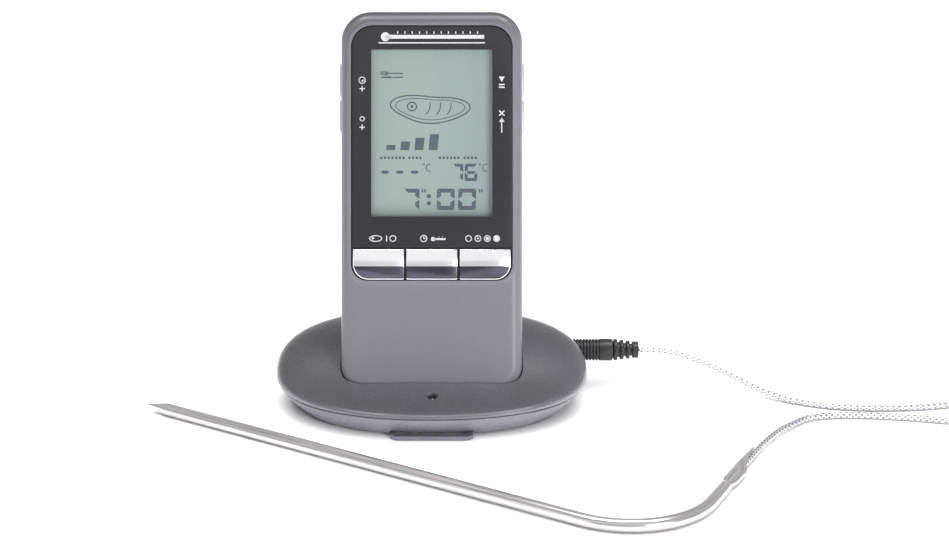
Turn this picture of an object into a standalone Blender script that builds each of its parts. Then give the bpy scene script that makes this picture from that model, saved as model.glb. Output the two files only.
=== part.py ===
"""Wireless meat thermometer: a handset that stands in a pebble-shaped transmitter base, with a
steel probe on a braided lead.

Frame: metres, +Z up. The origin is on the surface that the base stands on, under the middle of
the base. +X runs to the side that the probe's plug comes out of, and -Y is the front.
Sizes are in millimetres, and MM turns them into metres where a mesh or a place is made.
"""
import bpy
import bmesh
from math import atan2, ceil, cos, exp, hypot, pi, radians, sin
from mathutils import Matrix, Vector

MM = 0.001
GAP = 0.3                     # between neighbouring pieces
SIDES = 24                    # facets round a small cylinder

# ---- handset ---------------------------------------------------------------------------------
HANDSET_WIDTH = 60.4
HANDSET_LENGTH = 126.3
HANDSET_THICKNESS = 23.0
HANDSET_WALL = 1.8
TOP_CORNER = 10.0             # corner radii of the handset's outline
BOTTOM_CORNER = 8.5
FRONT_ROUND = 4.0             # roundings round the front and the back face
BACK_ROUND = 6.0
SEAM_DEPTH = 11.0             # where front and back shell meet, from the front face
LEAN = radians(18.0)          # how far the handset leans back in the base

# ---- display and its black panel -------------------------------------------------------------
RIM = 3.4                     # from the handset's side to the panel's edge
RIM_TOP = 4.9
LIP_WIDTH = 1.4               # raised lip round panel and keys
LIP_HEIGHT = 0.45
RECESS_DEPTH = 0.9
RECESS_CORNER = 7.2
PANEL_HEIGHT = 73.3
PANEL_THICKNESS = 0.8
WINDOW_WIDTH = 40.2
WINDOW_HEIGHT = 55.4
WINDOW_DROP = 7.7             # from the panel's top edge to the window
WINDOW_THICKNESS = 0.6
LCD_MARGIN = 1.0
LCD_THICKNESS = 2.0
HOLDER_THICKNESS = 1.4
BOARD_THICKNESS = 1.2
BOARD_DEPTH = 8.2             # front face of the handset's circuit board
BOARD_END_MARGIN = 17.0

# ---- keys ------------------------------------------------------------------------------------
KEY_WIDTH = 17.0
KEY_HEIGHT = 10.1
KEY_GAP = 0.7
KEY_RIDGE = 1.4               # the ridge stands this far off the handset's face
KEY_EDGE = 0.5
KEY_RIDGE_HEIGHT = 4.5        # ridge above the key's lower edge
KEY_CORNER = 5.5
KEY_TRAVEL = 0.8
KEY_STEM_WIDTH = 8.0
KEY_STEM_HEIGHT = 4.6
SIDE_KEY_LENGTH = 11.4
SIDE_KEY_DEPTH = 6.0
SIDE_KEY_PROUD = 0.8
SIDE_KEY_TRAVEL = 0.6
SIDE_KEY_TOP = 16.7           # from the handset's top end to the upper side keys
SWITCH_LENGTH = 4.5

# ---- batteries: AAA --------------------------------------------------------------------------
CELL_RADIUS = 5.25
CELL_LENGTH = 44.5
CELL_NUB_RADIUS = 1.9
CELL_NUB_LENGTH = 0.8
CONTACT_THICKNESS = 0.5

HANDSET_CELL_BOTTOM = 40.0
HANDSET_DOOR_WALL = 1.4
DOOR_MARGIN = 4.0
DOOR_TRAVEL = 8.0

# ---- screws ----------------------------------------------------------------------------------
BOSS_RADIUS = 3.0
SCREW_RADIUS = 1.0
SCREW_HEAD_RADIUS = 2.3
SCREW_HEAD_HEIGHT = 1.6
SCREW_SINK = 0.4              # head below the shell's surface
SCREW_BITE = 5.0              # longest reach into the base's upper shell

# ---- transmitter base ------------------------------------------------------------------------
BASE_HALF_LENGTH = 52.84      # along X, at the girth
BASE_HALF_WIDTH = 36.23       # along Y
BASE_SQUARENESS = 2.207       # exponent of the outline, 2 is an ellipse
BASE_FRONT_CROWN = 10.0       # the dome climbs from this height in front of the handset
BASE_CROWN_RISE = 16.0        # by this much behind it
BASE_RISE_MIDDLE = -8.9       # the Y at which it is half way up
BASE_RISE_STEEPNESS = 0.125   # per mm
BASE_DOME_POWER = 3.09        # shoulder of the dome's profile
BASE_GIRTH_HEIGHT = 9.85
BASE_FRONT_DROP = 1.75        # the girth runs this much lower at the very front
BASE_SEAM_HEIGHT = 7.37
BASE_FOOT_SHARE = 0.842       # outline at the foot against the outline at the girth
BASE_FOOT_POWER = 1.41
BASE_WALL = 2.0
BASE_FACETS = 48

POCKET_FACE_Y = -19.2         # lower front edge of the handset
POCKET_FACE_Z = 10.8
POCKET_CLEARANCE = 0.45
POCKET_WALL = 1.8
HANDSET_TRAVEL = 30.0

LED_RADIUS = 1.45
LED_HOLE_RADIUS = 1.7
LED_Y = -24.7
LED_TILT = radians(14.0)
LED_SINK = 1.1
LED_LENGTH = 5.0

BASE_DOOR_HALF_LENGTH = 25.5
BASE_DOOR_WIDTH = 14.9
BASE_DOOR_THICKNESS = 1.2
BASE_DOOR_TRAVEL = 6.0
BASE_DOOR_LIFT = 0.4

LOOP_WIDTH = 27.0             # pull-out hanging loop under the front
LOOP_LENGTH = 19.0
LOOP_THICKNESS = 1.25
LOOP_LIFT = 0.1
LOOP_BAR = 2.0
LOOP_REACH = 4.3              # in front of the foot of the base
LOOP_TRAVEL = 8.0

# ---- plug, jack and lead ---------------------------------------------------------------------
PLUG_Y = 15.0
PLUG_Z = 12.2
PLUG_HOLE_RADIUS = 4.3
PLUG_GRIP_RADIUS = 3.85
PLUG_GRIP_LENGTH = 15.8
PLUG_PIN_RADIUS = 1.25
PLUG_PIN_LENGTH = 11.0
PLUG_SINK = 2.2               # how far the grip sits inside the base's wall
RELIEF_LENGTH = 8.6
RELIEF_RADIUS = 3.75
RELIEF_END_RADIUS = 2.9
JACK_HALF_WIDTH = 2.6
JACK_HALF_HEIGHT = 2.9
CABLE_RADIUS = 1.0
COIL_CENTRE = (200.0, -15.0)
COIL_RADIUS = 11.0
COIL_HALF_THICKNESS = 4.0
CABLE_OUT_ROUTE = (
    (76.0, 14.7, 12.3), (82.4, 14.0, 12.0), (88.3, 13.0, 10.6), (94.0, 11.5, 8.9),
    (99.8, 9.3, 6.9), (105.5, 6.5, 4.9), (111.1, 3.3, 3.0), (116.5, 0.0, 1.75),
    (123.0, -4.0, 1.1), (135.0, -8.6, 1.05), (150.0, -10.4, 1.05), (166.0, -9.4, 1.05),
    (178.0, -6.9, 1.05), (187.6, -4.4, 1.05),
)
CABLE_BACK_ROUTE = (
    (187.6, -25.6, 1.05), (178.0, -23.0, 1.05), (163.0, -19.2, 1.05), (148.0, -17.0, 1.05),
    (134.0, -16.8, 1.1),
    (125.2, -19.5, 1.3), (118.9, -25.3, 1.6), (114.4, -30.2, 1.8), (110.6, -35.7, 2.0),
    (107.0, -41.5, 2.1),
)

# ---- probe -----------------------------------------------------------------------------------
PROBE_TIP = (-95.9, -9.6)
PROBE_HEADING = radians(-31.7)
PROBE_RADIUS = 2.1
PROBE_BORE = 1.5
PROBE_POINT = 8.0             # length of the sharpened end
PROBE_STRAIGHT = 164.5
PROBE_BEND_RADIUS = 28.4
PROBE_BEND = radians(94.2)
PROBE_LEG = 42.5
CRIMP_START = 14.0            # along the short leg
CRIMP_HALF_WIDTH = 2.6
CRIMP_HALF_HEIGHT = 1.75
SENSOR_RADIUS = 1.0
SENSOR_LENGTH = 12.0

# ---- places that follow from the sizes above -------------------------------------------------
HALF = HANDSET_WIDTH / 2
RECESS_HALF = HALF - RIM
RECESS_TOP = HANDSET_LENGTH - RIM_TOP
PANEL_TOP = RECESS_TOP - GAP
PANEL_BOTTOM = PANEL_TOP - PANEL_HEIGHT
KEY_TOP = PANEL_BOTTOM - KEY_GAP
KEY_BOTTOM = KEY_TOP - KEY_HEIGHT
RECESS_BOTTOM = KEY_BOTTOM - GAP
WINDOW_TOP = PANEL_TOP - WINDOW_DROP
WINDOW_BOTTOM = WINDOW_TOP - WINDOW_HEIGHT
LCD_FRONT = HANDSET_WALL + GAP
LCD_BACK = LCD_FRONT + LCD_THICKNESS
LCD_HALF = WINDOW_WIDTH / 2 + LCD_MARGIN
HOLDER_FRONT = LCD_BACK + GAP
BOARD_BACK = BOARD_DEPTH + BOARD_THICKNESS
BOARD_HALF = HALF - HANDSET_WALL - 3.2
CELL_DEPTH = HANDSET_THICKNESS - HANDSET_DOOR_WALL - 2 * GAP - CELL_RADIUS
SIDE_KEY_DEPTH_MIDDLE = SEAM_DEPTH
POCKET_OFFSET = POCKET_CLEARANCE + POCKET_WALL
MANIFOLD_SOLIDS = ("base_top_shell", "cut_top_cavity", "guide_low_tub",
                   "handset_back_shell", "cut_back_cavity")
FOOT_FRONT_Y = -BASE_FOOT_SHARE * BASE_HALF_WIDTH


# ---- small tools -----------------------------------------------------------------------------
def clear_scene():
    for obj in list(bpy.data.objects):
        bpy.data.objects.remove(obj, do_unlink=True)


def add_empty(name, place, rotation, parent=None):
    empty = bpy.data.objects.new(name, None)
    bpy.context.scene.collection.objects.link(empty)
    empty.location = Vector(place) * MM
    empty.rotation_euler = rotation
    empty.parent = parent
    return empty


def add_mesh(name, bm, parent=None, place=(0, 0, 0), rotation=(0, 0, 0)):
    """Close a bmesh drawn in millimetres into an object in metres."""
    bmesh.ops.recalc_face_normals(bm, faces=bm.faces)
    bmesh.ops.scale(bm, vec=(MM, MM, MM), verts=bm.verts)
    mesh = bpy.data.meshes.new(name)
    bm.to_mesh(mesh)
    bm.free()
    mesh.shade_smooth()
    mesh.set_sharp_from_angle(angle=radians(35))
    obj = bpy.data.objects.new(name, mesh)
    bpy.context.scene.collection.objects.link(obj)
    obj.location = Vector(place) * MM
    obj.rotation_euler = rotation
    obj.parent = parent
    return obj


def paint(obj, colour, roughness, metallic=0.0, clear=0.0):
    """Give the object a material of its own, named after it."""
    material = bpy.data.materials.new(obj.name)
    material.use_nodes = True
    shader = material.node_tree.nodes["Principled BSDF"]
    shader.inputs["Base Color"].default_value = (*colour, 1.0)
    shader.inputs["Roughness"].default_value = roughness
    shader.inputs["Metallic"].default_value = metallic
    shader.inputs["Transmission Weight"].default_value = clear
    obj.data.materials.append(material)
    return obj


def loft(name, rings, parent=None, split=False, **where):
    """Skin a row of rings that have equal point counts, and cap both ends.

    split cuts the faces into triangles, for rings that don't lie in a plane.
    """
    bm = bmesh.new()
    loops = [[bm.verts.new(point) for point in ring] for ring in rings]
    count = len(loops[0])
    for first, second in zip(loops, loops[1:]):
        for i in range(count):
            j = (i + 1) % count
            bm.faces.new((first[i], first[j], second[j], second[i]))
    bm.faces.new(list(reversed(loops[0])))
    bm.faces.new(loops[-1])
    if split:
        bmesh.ops.triangulate(bm, faces=bm.faces)
    return add_mesh(name, bm, parent, **where)


def block(name, x, y, z, parent=None, **where):
    """A box between two values on each axis."""
    ring = ((x[0], y[0]), (x[1], y[0]), (x[1], y[1]), (x[0], y[1]))
    return loft(name, [[(a, b, level) for a, b in ring] for level in z], parent, **where)


def turned(name, profile, axis="Z", parent=None, place=(0, 0, 0), sides=SIDES, **where):
    """A solid turned about an axis through place; profile holds (distance along, radius)."""
    rings = []
    for along, radius in profile:
        ring = []
        for i in range(sides):
            angle = 2 * pi * i / sides
            across, up = radius * cos(angle), radius * sin(angle)
            point = {"X": (along, across, up), "Y": (across, along, up), "Z": (across, up, along)}
            ring.append(point[axis])
        rings.append(ring)
    return loft(name, rings, parent, place=place, **where)


def boolean(obj, other, operation):
    """Two shells with many rounded cuts defeat the exact solver, and use the manifold one."""
    modifier = obj.modifiers.new(f"{operation.lower()} {other.name}", "BOOLEAN")
    modifier.operation = operation
    modifier.solver = "MANIFOLD" if obj.name in MANIFOLD_SOLIDS else "EXACT"
    modifier.object = other
    other.hide_render = True
    other.display_type = "WIRE"


def cut(obj, *cutters):
    for cutter in cutters:
        boolean(obj, cutter, "DIFFERENCE")


def add(obj, *others):
    for other in others:
        boolean(obj, other, "UNION")


def arc(centre, radius, start, end, steps):
    """Points of an arc, both ends included, angles in degrees."""
    points = []
    for i in range(steps + 1):
        angle = radians(start + (end - start) * i / steps)
        points.append((centre[0] + radius * cos(angle), centre[1] + radius * sin(angle)))
    return points


def round_rect(x, z, top, bottom, steps=5):
    """Outline with rounded corners, counted the same whatever its radii."""
    top = max(top, 0.05)
    bottom = max(bottom, 0.05)
    points = arc((x[1] - top, z[1] - top), top, 0, 90, steps)
    points += arc((x[0] + top, z[1] - top), top, 90, 180, steps)
    points += arc((x[0] + bottom, z[0] + bottom), bottom, 180, 270, steps)
    points += arc((x[1] - bottom, z[0] + bottom), bottom, 270, 360, steps)
    return points


def plate(name, x, z, depth, top, bottom, parent=None, steps=5):
    """A flat piece with rounded corners, thick along Y."""
    outline = round_rect(x, z, top, bottom, steps)
    return loft(name, [[(a, level, b) for a, b in outline] for level in depth], parent)


# ---- handset ---------------------------------------------------------------------------------
def handset_frame():
    """The handset's own axes: X across, Y into its thickness, Z along its length."""
    return add_empty("handset_frame", (0, POCKET_FACE_Y, POCKET_FACE_Z), (-LEAN, 0, 0))


def slab_ring(inset, depth, grow=0.0):
    size = grow - inset
    outline = round_rect((-HALF - size, HALF + size), (-size, HANDSET_LENGTH + size),
                         TOP_CORNER + size, BOTTOM_CORNER + size, 4)
    return [(x, depth, z) for x, z in outline]


def slab_rings(front, back, grow, front_round, back_round, start=None, stop=None, steps=3):
    """Rings of a slab that is rounded round its front and its back, between two depths."""
    turns = [pi / 2 * i / steps for i in range(steps + 1)]
    rings = [(front + front_round * (1 - cos(turn)), front_round * (1 - sin(turn)))
             for turn in turns]
    rings += [(back - back_round * (1 - sin(turn)), back_round * (1 - cos(turn)))
              for turn in turns]
    first = front if start is None else start
    last = back if stop is None else stop
    inside = [ring for ring in rings if first < ring[0] < last]
    if start is None:
        inside.insert(0, rings[0])
    else:
        inside.insert(0, (first, 0.0))
    if stop is None:
        inside.append(rings[-1])
    else:
        inside.append((last, 0.0))
    return [slab_ring(inset, depth, grow) for depth, inset in inside]


def slab(name, front, back, grow, front_round, back_round, parent, start=None, stop=None):
    return loft(name, slab_rings(front, back, grow, front_round, back_round, start, stop), parent)


def grown_slab(name, grow, parent):
    """The handset's outline, larger by the same amount all round."""
    return slab(name, -grow, HANDSET_THICKNESS + grow, grow, FRONT_ROUND + grow,
                BACK_ROUND + grow, parent)


def handset_screw_places():
    """The screws' heads stay on the flat of the back, inside its rounded edge."""
    edge = BACK_ROUND + SCREW_HEAD_RADIUS + GAP
    side = HALF - edge
    low = BOARD_END_MARGIN - BOSS_RADIUS
    high = HANDSET_LENGTH - edge
    return ((-side, low), (side, low), (-side, high), (side, high))


def post(name, radius, place, depth, parent):
    """A round post along the handset's thickness."""
    profile = ((depth[0], radius), (depth[1], radius))
    return turned(name, profile, "Y", parent, place=(place[0], 0, place[1]), sides=16)


def key_places():
    pitch = KEY_WIDTH + KEY_GAP
    return {"left": -pitch, "middle": 0.0, "right": pitch}


def side_key_places():
    upper = HANDSET_LENGTH - SIDE_KEY_TOP - SIDE_KEY_LENGTH / 2
    lower = upper - SIDE_KEY_LENGTH - KEY_GAP
    return {"left_upper": (-1, upper), "left_lower": (-1, lower),
            "right_upper": (1, upper), "right_lower": (1, lower)}


def side_key_slots(parent, name):
    cutters = []
    for key, (side, middle) in side_key_places().items():
        reach = SIDE_KEY_LENGTH / 2 + GAP / 2
        deep = SIDE_KEY_DEPTH / 2 + GAP
        x = sorted((side * (HALF - HANDSET_WALL - 2), side * (HALF + 2)))
        y = (SIDE_KEY_DEPTH_MIDDLE - deep, SIDE_KEY_DEPTH_MIDDLE + deep)
        cutters.append(block(f"{name}_{key}", x, y, (middle - reach, middle + reach), parent))
    return cutters


def build_front_shell(parent):
    edge = SEAM_DEPTH - GAP / 2
    shell = slab("handset_front_shell", 0, HANDSET_THICKNESS, 0, FRONT_ROUND, BACK_ROUND,
                 parent, stop=edge)
    cavity = slab("cut_front_cavity", HANDSET_WALL, HANDSET_THICKNESS, -HANDSET_WALL,
                  FRONT_ROUND - HANDSET_WALL, BACK_ROUND, parent, stop=edge + 2)
    for i, place in enumerate(handset_screw_places()):
        cut(cavity, post(f"guide_front_boss_{i}", BOSS_RADIUS, place, (0, edge + 4), parent))
    lip_x = (-RECESS_HALF - LIP_WIDTH, RECESS_HALF + LIP_WIDTH)
    lip_z = (RECESS_BOTTOM - LIP_WIDTH, RECESS_TOP + LIP_WIDTH)
    lip = plate("guide_lip", lip_x, lip_z, (-LIP_HEIGHT, HANDSET_WALL - 0.4),
                RECESS_CORNER + LIP_WIDTH, KEY_CORNER + LIP_WIDTH, parent)
    add(shell, lip)
    recess = plate("cut_recess", (-RECESS_HALF, RECESS_HALF), (RECESS_BOTTOM, RECESS_TOP),
                   (-LIP_HEIGHT - 1, RECESS_DEPTH), RECESS_CORNER, KEY_CORNER, parent)
    opening = plate("cut_window", (-WINDOW_WIDTH / 2 - 0.8, WINDOW_WIDTH / 2 + 0.8),
                    (WINDOW_BOTTOM - 0.8, WINDOW_TOP + 0.8), (-2, HANDSET_WALL + 1),
                    0.5, 0.5, parent)
    cut(shell, cavity, recess, opening)
    stem_x = KEY_STEM_WIDTH / 2 + GAP
    stem_z = KEY_STEM_HEIGHT / 2 + GAP
    middle = (KEY_TOP + KEY_BOTTOM) / 2
    for key, x in key_places().items():
        cut(shell, block(f"cut_stem_{key}", (x - stem_x, x + stem_x), (-1, HANDSET_WALL + 1),
                         (middle - stem_z, middle + stem_z), parent))
    for i, place in enumerate(handset_screw_places()):
        cut(shell, post(f"cut_front_pilot_{i}", SCREW_RADIUS + GAP, place, (3, edge + 1), parent))
    cut(shell, *side_key_slots(parent, "cut_front_slot"))
    paint(shell, (0.28, 0.27, 0.31), 0.45)


def handset_door_box():
    half = 2 * CELL_RADIUS + GAP + 1.5
    return half, HANDSET_CELL_BOTTOM - DOOR_MARGIN, HANDSET_CELL_BOTTOM + CELL_LENGTH + DOOR_MARGIN


def build_back_shell(parent):
    edge = SEAM_DEPTH + GAP / 2
    back = HANDSET_THICKNESS
    half, low, high = handset_door_box()
    shell = slab("handset_back_shell", 0, back, 0, FRONT_ROUND, BACK_ROUND, parent, start=edge)
    cavity = slab("cut_back_cavity", 0, back - HANDSET_WALL, -HANDSET_WALL, FRONT_ROUND,
                  BACK_ROUND - HANDSET_WALL, parent, start=edge - 2)
    for i, place in enumerate(handset_screw_places()):
        cut(cavity, post(f"guide_back_boss_{i}", BOSS_RADIUS, place, (edge - 4, back), parent))
    thumb = HANDSET_DOOR_WALL + GAP
    cut(cavity, block("guide_thumb_floor", (-half - 2, half + 2),
                      (back - thumb - 1.5, back), (low - DOOR_TRAVEL - 2, low + 1.5), parent))
    cut(shell, cavity)
    for i, place in enumerate(handset_screw_places()):
        cut(shell, post(f"cut_back_bore_{i}", SCREW_RADIUS + GAP, place, (edge - 1, back), parent))
        cut(shell, post(f"cut_back_sink_{i}", SCREW_HEAD_RADIUS + GAP, place,
                        (back - SCREW_SINK - SCREW_HEAD_HEIGHT - GAP, back + 1), parent))
    cut(shell, block("cut_door_opening", (-half - GAP, half + GAP), (back - 4, back + 1),
                     (low + 1.5, high + GAP), parent))
    cut(shell, block("cut_thumb_recess", (-half - GAP, half + GAP), (back - thumb, back + 1),
                     (low - DOOR_TRAVEL - GAP, low + 2), parent))
    cut(shell, *side_key_slots(parent, "cut_back_slot"))
    paint(shell, (0.27, 0.26, 0.30), 0.5)


def build_handset_door(parent):
    half, low, high = handset_door_box()
    back = HANDSET_THICKNESS - 0.05
    door = block("handset_battery_door", (-half, half), (back - HANDSET_DOOR_WALL, back),
                 (low, high), parent)
    for i in range(3):
        z = low + 4 + 2.4 * i
        cut(door, block(f"cut_door_grip_{i}", (-8, 8), (back - 0.5, back + 1), (z, z + 1.1),
                        parent))
    paint(door, (0.27, 0.26, 0.30), 0.5)


def build_display(parent):
    half = RECESS_HALF - GAP
    front = RECESS_DEPTH - GAP - PANEL_THICKNESS
    panel = plate("display_panel", (-half, half), (PANEL_BOTTOM, PANEL_TOP),
                  (front, front + PANEL_THICKNESS), RECESS_CORNER - GAP, 0.4, parent)
    wide = WINDOW_WIDTH / 2
    cut(panel, plate("cut_panel_window", (-wide, wide), (WINDOW_BOTTOM, WINDOW_TOP),
                     (front - 1, front + PANEL_THICKNESS + 1), 0.4, 0.4, parent))
    paint(panel, (0.02, 0.02, 0.025), 0.3)
    window = plate("display_window", (-wide + GAP, wide - GAP),
                   (WINDOW_BOTTOM + GAP, WINDOW_TOP - GAP),
                   (front + 0.2, front + 0.2 + WINDOW_THICKNESS), 0.3, 0.3, parent)
    paint(window, (0.9, 0.95, 0.95), 0.05, clear=1.0)
    low, high = WINDOW_BOTTOM - LCD_MARGIN, WINDOW_TOP + LCD_MARGIN - 0.6
    lcd = block("lcd_glass", (-LCD_HALF, LCD_HALF), (LCD_FRONT, LCD_BACK), (low, high), parent)
    paint(lcd, (0.45, 0.53, 0.5), 0.2)
    holder_depth = (HOLDER_FRONT, HOLDER_FRONT + HOLDER_THICKNESS)
    holder = block("lcd_holder", (-LCD_HALF, LCD_HALF), holder_depth, (low + 3.4, high), parent)
    cut(holder, block("cut_holder", (-LCD_HALF + 3, LCD_HALF - 3), (0, 20),
                      (low + 6.4, high - 3), parent))
    paint(holder, (0.7, 0.7, 0.68), 0.5)
    strip = block("lcd_connector", (-LCD_HALF + 2, LCD_HALF - 2),
                  (HOLDER_FRONT, BOARD_DEPTH - GAP), (low + 0.3, low + 2.6), parent)
    paint(strip, (0.65, 0.45, 0.5), 0.7)


def build_handset_board(parent):
    board = block("handset_circuit_board", (-BOARD_HALF, BOARD_HALF), (BOARD_DEPTH, BOARD_BACK),
                  (BOARD_END_MARGIN + 1, HANDSET_LENGTH - BOARD_END_MARGIN), parent)
    paint(board, (0.03, 0.16, 0.07), 0.4)
    back = BOARD_BACK + GAP
    buzzer = turned("buzzer", ((back, 6.0), (back + 2.8, 6.0), (back + 3.1, 5.7)), "Y", parent,
                    place=(0, 0, BOARD_END_MARGIN + 9))
    paint(buzzer, (0.02, 0.02, 0.02), 0.4)
    antenna = turned("receiver_antenna", ((-6.0, 2.0), (6.0, 2.0)), "Z", parent,
                     place=(BOARD_HALF - 12, back + 2, HANDSET_LENGTH - BOARD_END_MARGIN - 10),
                     sides=16)
    paint(antenna, (0.5, 0.25, 0.12), 0.3, 1.0)
    for key, (side, middle) in side_key_places().items():
        x = sorted((side * (BOARD_HALF - 2.5), side * (BOARD_HALF + 0.6)))
        switch = block(f"side_switch_{key}", x, (back, back + 2.6),
                       (middle - SWITCH_LENGTH / 2, middle + SWITCH_LENGTH / 2), parent)
        paint(switch, (0.6, 0.6, 0.6), 0.4)
    build_key_mat(parent)


def build_key_mat(parent):
    """A rubber sheet with a dome under each front key's stem."""
    back = BOARD_DEPTH - GAP
    dome_front = key_stem_end() + KEY_TRAVEL + 0.2
    mat = block("key_mat", (-RECESS_HALF + 1, RECESS_HALF - 1), (back - 1, back),
                (KEY_BOTTOM - 1.5, KEY_TOP + 2), parent)
    middle = (KEY_TOP + KEY_BOTTOM) / 2
    for key, x in key_places().items():
        add(mat, turned(f"guide_dome_{key}", ((dome_front, 2.2), (back - 0.5, 3.2)), "Y", parent,
                        place=(x, 0, middle), sides=16))
    paint(mat, (0.6, 0.6, 0.58), 0.8)


def key_stem_end():
    return HANDSET_WALL + 2.4


def build_front_keys(parent):
    """Three keys with a ridge across; the outer two follow the recess's rounded corners."""
    reach = KEY_WIDTH / 2
    middle = (KEY_TOP + KEY_BOTTOM) / 2
    ridge = KEY_BOTTOM + KEY_RIDGE_HEIGHT
    back = RECESS_DEPTH - KEY_TRAVEL - 0.2
    for key, x in key_places().items():
        left = KEY_CORNER - GAP if key == "left" else 0.5
        right = KEY_CORNER - GAP if key == "right" else 0.5
        body = ridged_plate(f"key_{key}", x, reach, left, right, ridge, back, parent)
        stem = block(f"guide_stem_{key}", (x - KEY_STEM_WIDTH / 2, x + KEY_STEM_WIDTH / 2),
                     (back - 0.3, key_stem_end()),
                     (middle - KEY_STEM_HEIGHT / 2, middle + KEY_STEM_HEIGHT / 2), parent)
        add(body, stem)
        paint(body, (0.85, 0.85, 0.87), 0.12, 1.0)


def ridged_plate(name, x, reach, left, right, ridge, back, parent):
    """A key's body: flat behind, and two facets in front that meet at the ridge."""
    lower = arc((x - reach + left, KEY_BOTTOM + left), left, 180, 270, 5)
    lower += arc((x + reach - right, KEY_BOTTOM + right), right, 270, 360, 5)
    lower = [point for point in lower if point[1] < ridge - 0.05]
    outline = [(x - reach, ridge)] + lower + [(x + reach, ridge)]
    outline += [(x + reach, KEY_TOP), (x - reach, KEY_TOP)]

    def front(z):
        if z >= ridge:
            share = (z - ridge) / (KEY_TOP - ridge)
        else:
            share = (ridge - z) / (ridge - KEY_BOTTOM)
        return -KEY_RIDGE + (KEY_RIDGE - KEY_EDGE) * share

    bm = bmesh.new()
    rear = [bm.verts.new((a, back, b)) for a, b in outline]
    face = [bm.verts.new((a, front(b), b)) for a, b in outline]
    count = len(outline)
    for i in range(count):
        j = (i + 1) % count
        bm.faces.new((rear[i], rear[j], face[j], face[i]))
    bm.faces.new(list(reversed(rear)))
    bm.faces.new(face[:count - 2])
    bm.faces.new((face[count - 3], face[count - 2], face[count - 1], face[0]))
    return add_mesh(name, bm, parent)


def build_side_keys(parent):
    """Rocker halves on the handset's sides, with a flange inside the wall that keeps them in."""
    deep = SIDE_KEY_DEPTH / 2
    inner = HALF - HANDSET_WALL - GAP
    for key, (side, middle) in side_key_places().items():
        reach = SIDE_KEY_LENGTH / 2 - GAP / 2
        rings = []
        for x, shrink in ((inner - 0.3, 0), (HALF + SIDE_KEY_PROUD - 0.4, 0),
                          (HALF + SIDE_KEY_PROUD, 0.5)):
            outline = round_rect((-reach + shrink, reach - shrink),
                                 (-deep + shrink, deep - shrink), 1.2, 1.2, 3)
            rings.append([(side * x, SIDE_KEY_DEPTH_MIDDLE + b, middle + a) for a, b in outline])
        body = loft(f"side_key_{key}", rings, parent)
        flange = block(f"guide_flange_{key}", sorted((side * (inner - 1.2), side * inner)),
                       (SIDE_KEY_DEPTH_MIDDLE - deep - 0.8, SIDE_KEY_DEPTH_MIDDLE + deep + 0.8),
                       (middle - reach, middle + reach), parent)
        add(body, flange)
        paint(body, (0.8, 0.8, 0.82), 0.2, 1.0)


def cell(name, axis, place, parent=None, turn=1):
    """A battery with its raised pole at the positive end."""
    half = CELL_LENGTH / 2
    body_end = half - CELL_NUB_LENGTH
    profile = ((-half, CELL_RADIUS - 0.4), (-half + 0.4, CELL_RADIUS),
               (body_end - 0.4, CELL_RADIUS), (body_end, CELL_RADIUS - 0.4),
               (body_end, CELL_NUB_RADIUS), (half, CELL_NUB_RADIUS))
    flipped = [(turn * along, radius) for along, radius in profile]
    battery = turned(name, flipped, axis, parent, place=place)
    return paint(battery, (0.1, 0.1, 0.12), 0.35)


def build_handset_cells(parent):
    middle = HANDSET_CELL_BOTTOM + CELL_LENGTH / 2
    x = CELL_RADIUS + GAP / 2
    cell("handset_battery_1", "Z", (-x, CELL_DEPTH, middle), parent, 1)
    cell("handset_battery_2", "Z", (x, CELL_DEPTH, middle), parent, -1)
    ends = {"top": HANDSET_CELL_BOTTOM + CELL_LENGTH + GAP,
            "bottom": HANDSET_CELL_BOTTOM - GAP - CONTACT_THICKNESS}
    for end, z in ends.items():
        contact = block(f"handset_contact_{end}", (-2 * CELL_RADIUS, 2 * CELL_RADIUS),
                        (CELL_DEPTH - CELL_RADIUS + 1, CELL_DEPTH + CELL_RADIUS - 1),
                        (z, z + CONTACT_THICKNESS), parent)
        paint(contact, (0.7, 0.7, 0.68), 0.25, 1.0)


def screw(name, axis, length, parent, place, way):
    """A countersunk-seat screw: head at 0, shaft running along way."""
    profile = ((0, SCREW_HEAD_RADIUS), (SCREW_HEAD_HEIGHT, SCREW_HEAD_RADIUS),
               (SCREW_HEAD_HEIGHT, SCREW_RADIUS), (length - 1, SCREW_RADIUS), (length, 0.4))
    shaped = [(way * along, radius) for along, radius in profile]
    obj = turned(name, shaped, axis, parent, place=place, sides=16)
    return paint(obj, (0.6, 0.6, 0.6), 0.3, 1.0)


def build_handset_screws(parent):
    head = HANDSET_THICKNESS - SCREW_SINK
    for i, (x, z) in enumerate(handset_screw_places(), start=1):
        screw(f"handset_screw_{i}", "Y", head - 4.0, parent, (x, head, z), -1)


# ---- transmitter base ------------------------------------------------------------------------
def outline_radius(angle, a, b):
    """Unit superellipse point for an angle round the base."""
    c, s = cos(angle), sin(angle)
    power = 2 / BASE_SQUARENESS
    return (a * abs(c) ** power * (1 if c >= 0 else -1), b * abs(s) ** power * (1 if s >= 0 else -1))


def dome_height(y, rise):
    """Height of the dome at a given y, and rise from girth (0) to crown (1)."""
    climb = 1 / (1 + exp(-BASE_RISE_STEEPNESS * (y - BASE_RISE_MIDDLE)))
    crown = BASE_FRONT_CROWN + BASE_CROWN_RISE * climb
    girth = BASE_GIRTH_HEIGHT - BASE_FRONT_DROP * min(max(-y / BASE_HALF_WIDTH, 0.0), 1.0) ** 2
    return girth + (crown - girth) * rise


def base_ring(share, rise, inset):
    """A ring of the dome, at a share of its outline."""
    ring = []
    for i in range(BASE_FACETS):
        x, y = outline_radius(2 * pi * i / BASE_FACETS, BASE_HALF_LENGTH - inset,
                              BASE_HALF_WIDTH - inset)
        x, y = share * x, share * y
        ring.append((x, y, dome_height(y, rise) - inset))
    return ring


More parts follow.
